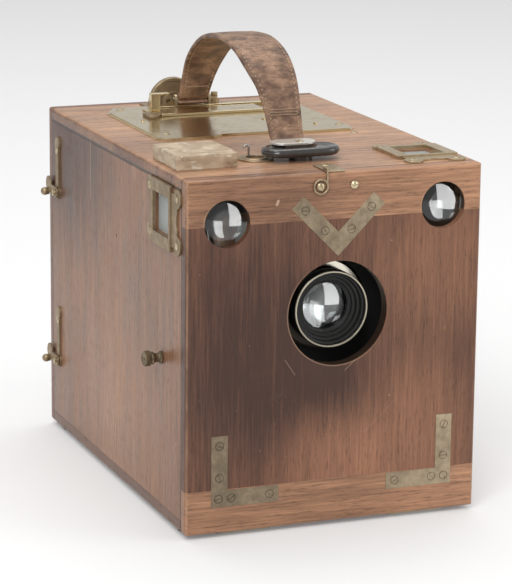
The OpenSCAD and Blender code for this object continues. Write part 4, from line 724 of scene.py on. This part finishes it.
def makeLens(look):
    hood, front, barrel = look["hood"], (hoodFront - caseFront) / mm, look["barrel"]
    inside, back, end = hood - look["hoodWall"], front + look["hoodLong"], front + look["barrelLong"]
    inner = [(radius, front + depth) for radius, depth in look["steps"]]
    outer = [(inside, front + 0.9), (inside + 0.2, front + 0.15), (hood - 0.5, front),
             (hood - 0.1, front + 0.25), (hood, front + 0.8), (hood, front + 3.6), (hood - 0.5, front + 4.0),
             (hood - 0.5, front + 4.6), (hood, front + 5.0), (hood, back - 2), (hood - 2.5, back),
             (barrel, back), (barrel, end), (look["bore"], end), (look["bore"], front + 11.8)]
    bm = spun(outer + inner[::-1] + outer[:1], lensCentre, (0, 1, 0), 128)
    makePiece("lens_barrel_turned", bm, "carriage", "lens_lacquer", ["lens_barrel"], 40)

    at, rim = look["flangeAt"], look["flange"]
    far, snug = at + look["flangeThick"], barrel + 0.05
    bm = spun([(snug, at), (rim - 7, at), (rim - 6.6, at + 0.4), (rim - 1.6, at + 0.5), (rim - 1.2, at + 1.2),
               (rim, at + 1.4), (rim, far), (snug, far), (snug, at)], lensCentre, (0, 1, 0), 128)
    makePiece("lens_flange_turned", bm, "carriage", "pale_brass", ["lens_flange"], 40)

    at, wide, rim, teeth = (look[key] for key in ("irisAt", "irisWide", "iris", "irisTeeth"))
    far = at + wide - 0.1
    bm = spun([(snug, at), (rim - 0.5, at), (rim, at + 0.5), (rim, far - 0.5), (rim - 0.5, far), (snug, far),
               (snug, at)], lensCentre, (0, 1, 0), teeth * 4)
    milled(bm, lensCentre, (0, 2), rim - 0.2, teeth, 0.012)
    lever, out = bmesh.new(), Vector((-0.82, 0, 0.57))
    bmesh.ops.create_cone(lever, cap_ends=True, segments=20, radius1=1.5 * mm, radius2=1.1 * mm,
                          depth=4.2 * mm)
    ends = [edge for edge in lever.edges if len({round(vert.co.z, 6) for vert in edge.verts}) == 1]
    bmesh.ops.bevel(lever, geom=ends, offset=0.3 * mm, segments=2, profile=0.5, affect="EDGES",
                    material=-1)
    aim(lever, out, lensCentre + (out * 25.4 + Vector((0, at + wide / 2, 0))) * mm)
    makePiece("iris_ring_milled", joined([bm, lever]), "iris", "lens_lacquer", ["iris_ring"], 40)


makeLens(lensLook)


# The profile of a glass with two round faces: bulges is the radius of each
def glassProfile(radius, thick, bulges, at):
    front, rear = bulges
    radii = [radius * k / 16 for k in range(17)]
    faces = [(r, at + front - math.sqrt(front ** 2 - r ** 2)) for r in radii]
    return faces + [(r, at + thick - rear + math.sqrt(rear ** 2 - r ** 2)) for r in radii[::-1]]


def makeGlasses(look):
    rear = (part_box("lens_glasses")[1].y - caseFront) / mm
    profiles = [glassProfile(look["glass"], look["glassThick"], (45, 62), look["glassAt"]),
                glassProfile(look["glass"], 5, (70, 48), rear - 5)]
    lens = joined([spun(profile, lensCentre, (0, 1, 0)) for profile in profiles])
    small = joined([spun(glassProfile(radius / mm, 5.6, (40, 56), 2.2), centre, (0, 1, 0))
                    for centre, radius in finders])
    return [makePiece("lens_glasses_ground", lens, "carriage", "lens_glass", ["lens_glasses"], 40),
            makePiece("finder_lenses_ground", small, "front", "lens_glass", ["finder_lenses"], 40)]


makeWindow(studio["window"], makeGlasses(lensLook))
print("lens made")

# Turned knob with a milled rim: its outline from the case's side to its own end, in mm
knobLook = {"neck": 3.0, "teeth": 36}


def makeKnob(look):
    low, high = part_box("focus_knob")
    centre = (-caseSide, (low.y + high.y) / 2, (low.z + high.z) / 2)
    out, r, neck = (-low.x - caseSide) / mm, (high.z - low.z) / 2 / mm, look["neck"]
    profile = [(0, -1), (neck - 0.5, -1), (neck - 0.5, 0.3), (4.3, 0.3), (4.4, 0.9), (4.0, 1.5),
               (3.3, 1.9), (neck, 3.0), (neck, 4.6), (3.5, 5.6), (4.2, 6.1), (4.4, 6.9), (3.9, 7.5),
               (3.6, 8.0), (r - 0.4, 8.4), (r, 8.8), (r, out - 1.0), (r - 0.5, out - 0.4),
               (r - 1.1, out - 0.2), (r - 1.5, out - 0.5), (1.6, out - 0.7), (0.9, out - 0.3),
               (0, out - 0.25)]
    bm = spun(profile, centre, (-1, 0, 0), look["teeth"] * 4)
    milled(bm, centre, (1, 2), r - 0.15, look["teeth"], 0.035)
    makePiece("focus_knob_turned", bm, "focus_drive", "dark_brass", ["focus_knob"], 30)


makeKnob(knobLook)

# Setting wheel with a milled rim, sunk faces and a raised hub
wheelLook = {"bore": 1.75, "hub": 7.5, "rim": 2.6, "sunk": 0.9, "teeth": 90}


def makeWheel(look):
    low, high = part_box("setting_wheel")
    centre, r, half = (low + high) / 2, (high.x - low.x) / 2 / mm, (high.y - low.y) / 2 / mm
    hub, rim, floor = look["hub"], r - look["rim"], half - look["sunk"]
    face = [(look["bore"], half), (hub, half), (hub + 0.5, floor), (rim - 0.5, floor), (rim, half),
            (r - 0.6, half), (r, half - 0.6)]
    profile = face + [(radius, -depth) for radius, depth in face[::-1]] + face[:1]
    bm = spun(profile, centre, (0, 1, 0), look["teeth"] * 4)
    milled(bm, centre, (0, 2), r - 0.3, look["teeth"], 0.022)
    makePiece("setting_wheel_milled", bm, "wheel", "aged_brass", ["setting_wheel"], 25)


makeWheel(wheelLook)


# A smooth line through (y, z) points, cut into equal steps: the points, their directions and the length
def smoothLine(points, count):
    knots = [Vector(point) for point in points]
    dense = []
    for i in range(len(knots) - 1):
        a, b, c, d = (knots[min(max(i + k, 0), len(knots) - 1)] for k in (-1, 0, 1, 2))
        for t in [k / 24 for k in range(24)]:
            bend, twist = 2 * a - 5 * b + 4 * c - d, 3 * b - a - 3 * c + d
            dense.append(0.5 * (2 * b + (c - a) * t + bend * t * t + twist * t ** 3))
    dense.append(knots[-1])
    run = [0.0]
    for p, q in zip(dense, dense[1:]):
        run.append(run[-1] + (q - p).length)
    line, k = [], 0
    for i in range(count + 1):
        goal = run[-1] * i / count
        while k < len(run) - 2 and run[k + 1] < goal:
            k += 1
        line.append(dense[k].lerp(dense[k + 1], (goal - run[k]) / max(run[k + 1] - run[k], 1e-9)))
    heads = [(line[min(i + 1, count)] - line[max(i - 1, 0)]).normalized() for i in range(count + 1)]
    return line, heads, run[-1]


# Leather handle: two layers sewn near their edges, folded round the rear pin and held under the front washer.
# line is its rise, in shares of the span and of the height, and grip how far its left and right edge swell
# along the span. Its thicknesses and seams are in mm
handleLook = {"pin": (0.116, 0.2465), "bend": -0.0735, "foot": -0.0993, "washer": -0.084, "front": 0.2477,
              "rise": 0.068, "left": -0.0165, "wide": 0.023, "swell": 0.0135, "thick": 3.0, "crown": 1.1,
              "seamIn": 3.0, "pitch": 3.2, "stitch": 0.62, "steps": 220,
              "line": [(0.016, 0.132), (0.058, 0.353), (0.103, 0.537), (0.178, 0.706), (0.29, 0.86),
                       (0.43, 0.956), (0.589, 1), (0.7, 1), (0.809, 0.949), (0.886, 0.835), (0.944, 0.666),
                       (0.976, 0.437), (1, 0.2)],
              "grip": [(-0.03, 0, 0), (0.024, 0, 0), (0.058, 0, 0.19), (0.103, 0.08, 0.42),
                       (0.29, 0.25, 0.55), (0.5, 0.6, 0.35), (0.7, 0.92, 0.1), (0.809, 1, 0),
                       (0.886, 0.95, 0.03), (0.944, 0.67, 0), (0.976, 0.33, 0), (1, 0, 0), (1.1, 0, 0)]}


def makeHandle(look):
    pinY, pinZ = look["pin"]
    bend, front, steps = look["bend"], look["front"], look["steps"]
    span = pinY - bend
    wrap = (look["thick"] / 2 + 1.45) * mm
    foldAngles = [-2.6 + 0.8 * k for k in range(6)]
    points = [(pinY + wrap * math.cos(a), pinZ + wrap * math.sin(a)) for a in foldAngles]
    points += [(pinY - u * span, caseTop + v * look["rise"]) for u, v in look["line"]]
    points += [(bend - 0.0015, front + 0.0026), (bend - 0.005, front), (bend - 0.015, front),
               (look["foot"], front)]
    line, heads, long = smoothLine(points, steps)
    pinShare, bendShare = 0.055, 1 - 0.038 / long

    def swell(t):
        rest = min(max((t - pinShare) / (bendShare - pinShare), 0), 1)
        return math.sin(math.pi * rest) ** 0.8 if 0 < rest < 1 else 0.0

    # left and right edge of the strap at a place along the span, smoothed over a few of its steps
    def edges(y):
        left = right = 0.0
        for shift in (-0.03, -0.015, 0, 0.015, 0.03):
            u = min(max((pinY - y) / span + shift, -0.03), 1.1)
            for (u0, a0, b0), (u1, a1, b1) in zip(look["grip"], look["grip"][1:]):
                if u <= u1:
                    k = (u - u0) / (u1 - u0)
                    left, right = left + (a0 + (a1 - a0) * k) / 5, right + (b0 + (b1 - b0) * k) / 5
                    break
        return look["left"] - look["swell"] * left, look["left"] + look["wide"] + look["swell"] * right

    # a place on the strap: t runs along it, side from -1 to 1 across it
    def spot(t, side, outer):
        i = min(int(t * steps), steps - 1)
        share = t * steps - i
        at, head = line[i].lerp(line[i + 1], share), heads[i].lerp(heads[i + 1], share).normalized()
        normal = Vector((head.y, -head.x))
        left, right = edges(at.x)
        half, middle = (right - left) / 2, (right + left) / 2
        off = abs(side) * half
        body = look["thick"] * mm / 2 + look["crown"] * mm / 2 * swell(t) * (1 - side * side) * 1.2
        groove = 0.32 * mm * math.exp(-((off - (half - look["seamIn"] * mm)) / (0.75 * mm)) ** 2)
        edge = max(0.0, (off - (half - 1.3 * mm)) / (1.3 * mm))
        thick = (body - groove) * math.sqrt(max(0.0, 1 - edge ** 2.6))
        if not outer and t < 0.115:
            thick += 0.9 * mm * (1 - edge)
        place = at + normal * (thick if outer else -thick)
        return Vector((middle + side * half, place.x, place.y)), normal

    def place(u, v):
        outer = v < 0.5
        share = v * 2 if outer else 2 - v * 2
        side = -math.cos(math.pi * share) if share < 1 else 1.0
        return spot(u, side * 0.35 + (share * 2 - 1) * 0.65, outer)[0]

    def stitch(t, side, outer, cross=False):
        here, normal = spot(t, side, outer)
        ahead = spot(t, side + 0.05, outer)[0] if cross else spot(min(t + 0.004, 1), side, outer)[0]
        bm = bmesh.new()
        bmesh.ops.create_uvsphere(bm, u_segments=6, v_segments=4, radius=look["stitch"] * mm)
        bmesh.ops.scale(bm, verts=bm.verts, vec=(1.0, 0.8, 1.0 if cross else 1.5))
        outwards = Vector((0, normal.x, normal.y)) * (0.12 * mm if outer else -0.12 * mm)
        aim(bm, (ahead - here).normalized(), here + outwards)
        return bm

    strap = wrapped(steps, 88, place)
    makePiece("handle_strap_sewn", strap, "case", "handle_leather", ["handle_strap"], 60)
    # a row along each edge, and cross rows near the pin and above the front bend
    stitches = []
    first, last = 0.075, 1 - (look["washer"] - look["foot"]) / long
    count = int(long * (last - first) / (look["pitch"] * mm))
    for k in range(count):
        t = first + (last - first) * k / (count - 1)
        left, right = edges(line[min(int(t * steps), steps)].x)
        inset = 1 - look["seamIn"] * mm / ((right - left) / 2)
        stitches += [stitch(t, side, outer) for side in (-inset, inset) for outer in (True, False)]
    rows = [0.092] + [bendShare - (0.0024 + 0.0018 * row) / long for row in range(3)]
    for across in range(15):
        side = -0.7 + 1.4 * across / 14
        stitches += [stitch(t, side, outer, True) for t in rows for outer in (True, False)]
    makePiece("handle_stitches", joined(stitches), "case", "thread", [], 60)


makeHandle(handleLook)
print("handle made")

# Oval ring under the handle's front end, with two grooves turned into its left end, a web and a boss, in mm
ringLook = {"thick": 6.0, "low": 3.2, "dish": 1.2, "webIn": 6.5, "boss": (8, 4.5), "grooves": (-0.28, 0.34),
            "grooveDeep": 0.55}


def makeRing(look):
    low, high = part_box("strap_ring")
    cx, cy = (low.x + high.x) / 2, (low.y + high.y) / 2
    endR = (high.y - low.y) / 2 / mm
    run = (high.x - low.x) / 2 / mm - endR
    half = look["thick"] / 2
    middle = caseTop + (look["low"] + half) * mm

    def place(u, v):
        angle, section = 2 * math.pi * u, 2 * math.pi * v
        outer = math.cos(section) > 0
        inwards = half * (1 - math.cos(section) * (1.0 if outer else 2.2)) * 0.98
        height = half * math.sin(section) * (1.0 if outer else 0.82)
        x, y = (endR - inwards) * math.cos(angle), (endR - inwards) * math.sin(angle)
        groove = 0.0
        if math.cos(angle) < -0.2 and math.cos(section) > -0.2:
            fade = min(1.0, (-math.cos(angle) - 0.2) * 2)
            for level in look["grooves"]:
                off = (math.sin(section) - level) / 0.10
                groove += look["grooveDeep"] * math.exp(-off ** 2) * fade
        x, y = x * (1 - groove / endR), y * (1 - groove / endR)
        slide = run * math.tanh(6 * math.cos(angle)) / math.tanh(6)
        return Vector((cx + (x + slide) * mm, cy + y * mm, middle + height * mm))

    tube = wrapped(144, 40, place, closed=True)
    rise = (half - look["dish"]) * mm
    web = bmesh.new()
    bmesh.ops.create_circle(web, cap_ends=True, segments=64, radius=(endR - look["webIn"]) * mm)
    for vert in web.verts:
        vert.co.x += math.copysign(run * mm, vert.co.x) if abs(vert.co.x) > 1e-6 else 0
    walls = bmesh.ops.extrude_face_region(web, geom=web.faces[:])
    bmesh.ops.translate(web, verts=vertsOf(walls["geom"]), vec=(0, 0, 2 * rise))
    bmesh.ops.translate(web, verts=web.verts, vec=(cx, cy, middle - rise))
    wide, tall = look["boss"]
    boss = spun([(0, 0), (wide, 0), (wide, tall), (0, tall)], (cx, cy, caseTop), (0, 0, 1), 48)
    makePiece("strap_ring_turned", joined([tube, web, boss]), "case", "ebonite", ["strap_ring"], 50)


makeRing(ringLook)

# Feet: domed rubber with a countersunk middle, in mm
footLook = {"radius": 6.0, "hollow": 2.2}


def makeFeet(look):
    r, hollow = look["radius"], look["hollow"]
    made = []
    for low, high in islands("feet"):
        centre, tall = (low + high) / 2, (high.z - low.z) / mm
        profile = [(0, tall * 0.5), (hollow, tall * 0.5), (hollow * 1.25, tall * 0.98), (r * 0.72, tall),
                   (r * 0.93, tall * 0.86), (r, tall * 0.6), (r, 0), (0, 0)]
        made.append(spun(profile, (centre.x, centre.y, high.z), (0, 0, -1), 48))
    makePiece("feet_domed", joined(made), "case", "foot_rubber", ["feet"], 40)


makeFeet(footLook)

# Coil springs behind the pusher plate, in mm
springLook = {"x": 45.0, "radius": 8.2, "wire": 0.8, "turns": 8}


def makeSprings(look):
    low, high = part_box("pusher_springs")
    start, end, centreZ = low.y + 1.0 * mm, high.y - 1.0 * mm, (low.z + high.z) / 2
    coils = []
    for side in (-1, 1):
        def place(u, v):
            angle, section = 2 * math.pi * look["turns"] * u, 2 * math.pi * v
            reach = look["radius"] + look["wire"] * math.cos(section)
            return Vector((side * look["x"] * mm + reach * math.cos(angle) * mm,
                           start + (end - start) * u + look["wire"] * math.sin(section) * mm,
                           centreZ + reach * math.sin(angle) * mm))
        coils.append(wrapped(look["turns"] * 24, 10, place))
    makePiece("pusher_coils", joined(coils), "door", "steel", ["pusher_springs"], 60)


makeSprings(springLook)

# Worn block on the left front corner, in mm: uneven, and bitten low at the right of its front
blockLook = {"edge": 0.6, "uneven": 0.45, "bitten": 1.5}


def makeBlock(look):
    low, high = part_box("corner_block")
    size = high - low
    bm = bmesh.new()
    bmesh.ops.create_cube(bm, size=1)
    bmesh.ops.scale(bm, verts=bm.verts, vec=size)
    bmesh.ops.translate(bm, verts=bm.verts, vec=(low + high) / 2)
    bmesh.ops.bevel(bm, geom=bm.edges[:], offset=look["edge"] * mm, segments=3, profile=0.5, affect="EDGES",
                    material=-1)
    sides = [edge for edge in bm.edges if edge.calc_length() > 8 * mm]
    bmesh.ops.subdivide_edges(bm, edges=sides, cuts=28, use_grid_fill=True)
    for vert in bm.verts:
        at = vert.co.copy()
        share, right, near = (at.z - low.z) / size.z, (at.x - low.x) / size.x, 1 - (at.y - low.y) / size.y
        seeds = (at * 90, at * 90 + Vector((7, 0, 0)), at * 130 + Vector((0, 9, 0)))
        wobble = Vector([noise.noise(seed) for seed in seeds]) * look["uneven"] * mm
        bite = max(0.0, near - 0.9) * 10 * min(1.0, max(0.0, right - 0.35) * 2) * max(0.0, 1 - share * 1.6)
        bite *= look["bitten"] * (1 + noise.noise(at * 260)) * mm
        vert.co += Vector((wobble.x * share ** 0.3, wobble.y * share ** 0.3 + bite, wobble.z * share))
        vert.co.z = min(max(vert.co.z, low.z), high.z + 0.2 * mm)
    makePiece("corner_block_worn", bm, "case", "pale_wood", ["corner_block"], 40)


makeBlock(blockLook)
print("ring, feet, springs and block made")

# Fittings whose shape is right and only need softened edges: body, finish and the edges' width in mm
softened = {"top_plate": ("case", "polished_brass", 0.35), "slide_rails": ("case", "polished_brass", 0.4),
            "stop_block": ("case", "aged_brass", 0.4), "changing_slide": ("changer", "polished_brass", 0.3),
            "finger_piece": ("changer", "polished_brass", 0.35),
            "finder_window_frames": ("case", "aged_brass", 0.3),
            "catch_plate": ("case", "aged_brass", 0.25), "latch_plates": ("case", "aged_brass", 0.3),
            "upper_latch_hook": ("upper_latch", "aged_brass", 0.25),
            "lower_latch_hook": ("lower_latch", "aged_brass", 0.25),
            "rear_bracket": ("case", "aged_brass", 0.25), "strap_washer": ("case", "nickel", 0.7),
            "cord_escutcheon": ("case", "aged_brass", 0.3), "top_board": ("case", "top_wood", 0.25),
            "left_side": ("case", "side_wood", 0.45), "right_side": ("case", "side_wood", 0.45),
            "front_panel": ("front", "front_wood", 0.3), "front_top_rail": ("front", "rail_wood", 0.3),
            "front_bottom_rail": ("front", "rail_wood", 0.3), "rear_door": ("door", "door_wood", 0.35),
            "base_board": ("case", "base_wood", 0.4), "v_strap": ("front", "strap_brass", 0.15),
            "corner_brackets": ("front", "strap_brass", 0.15), "tripod_bush": ("case", "aged_brass", 0.3),
            "release_button": ("release", "aged_brass", 0.5), "latch_pins": ("door", "aged_brass", 0.25),
            "door_hinge_leaves": ("door", "aged_brass", 0.2),
            "case_hinge_leaves": ("case", "aged_brass", 0.2)}
for node, (body, finish, width) in softened.items():
    rounded(node, body, finish, width * mm)
assert covered == set(nodes), covered ^ set(nodes)
print("fittings softened", len(softened))
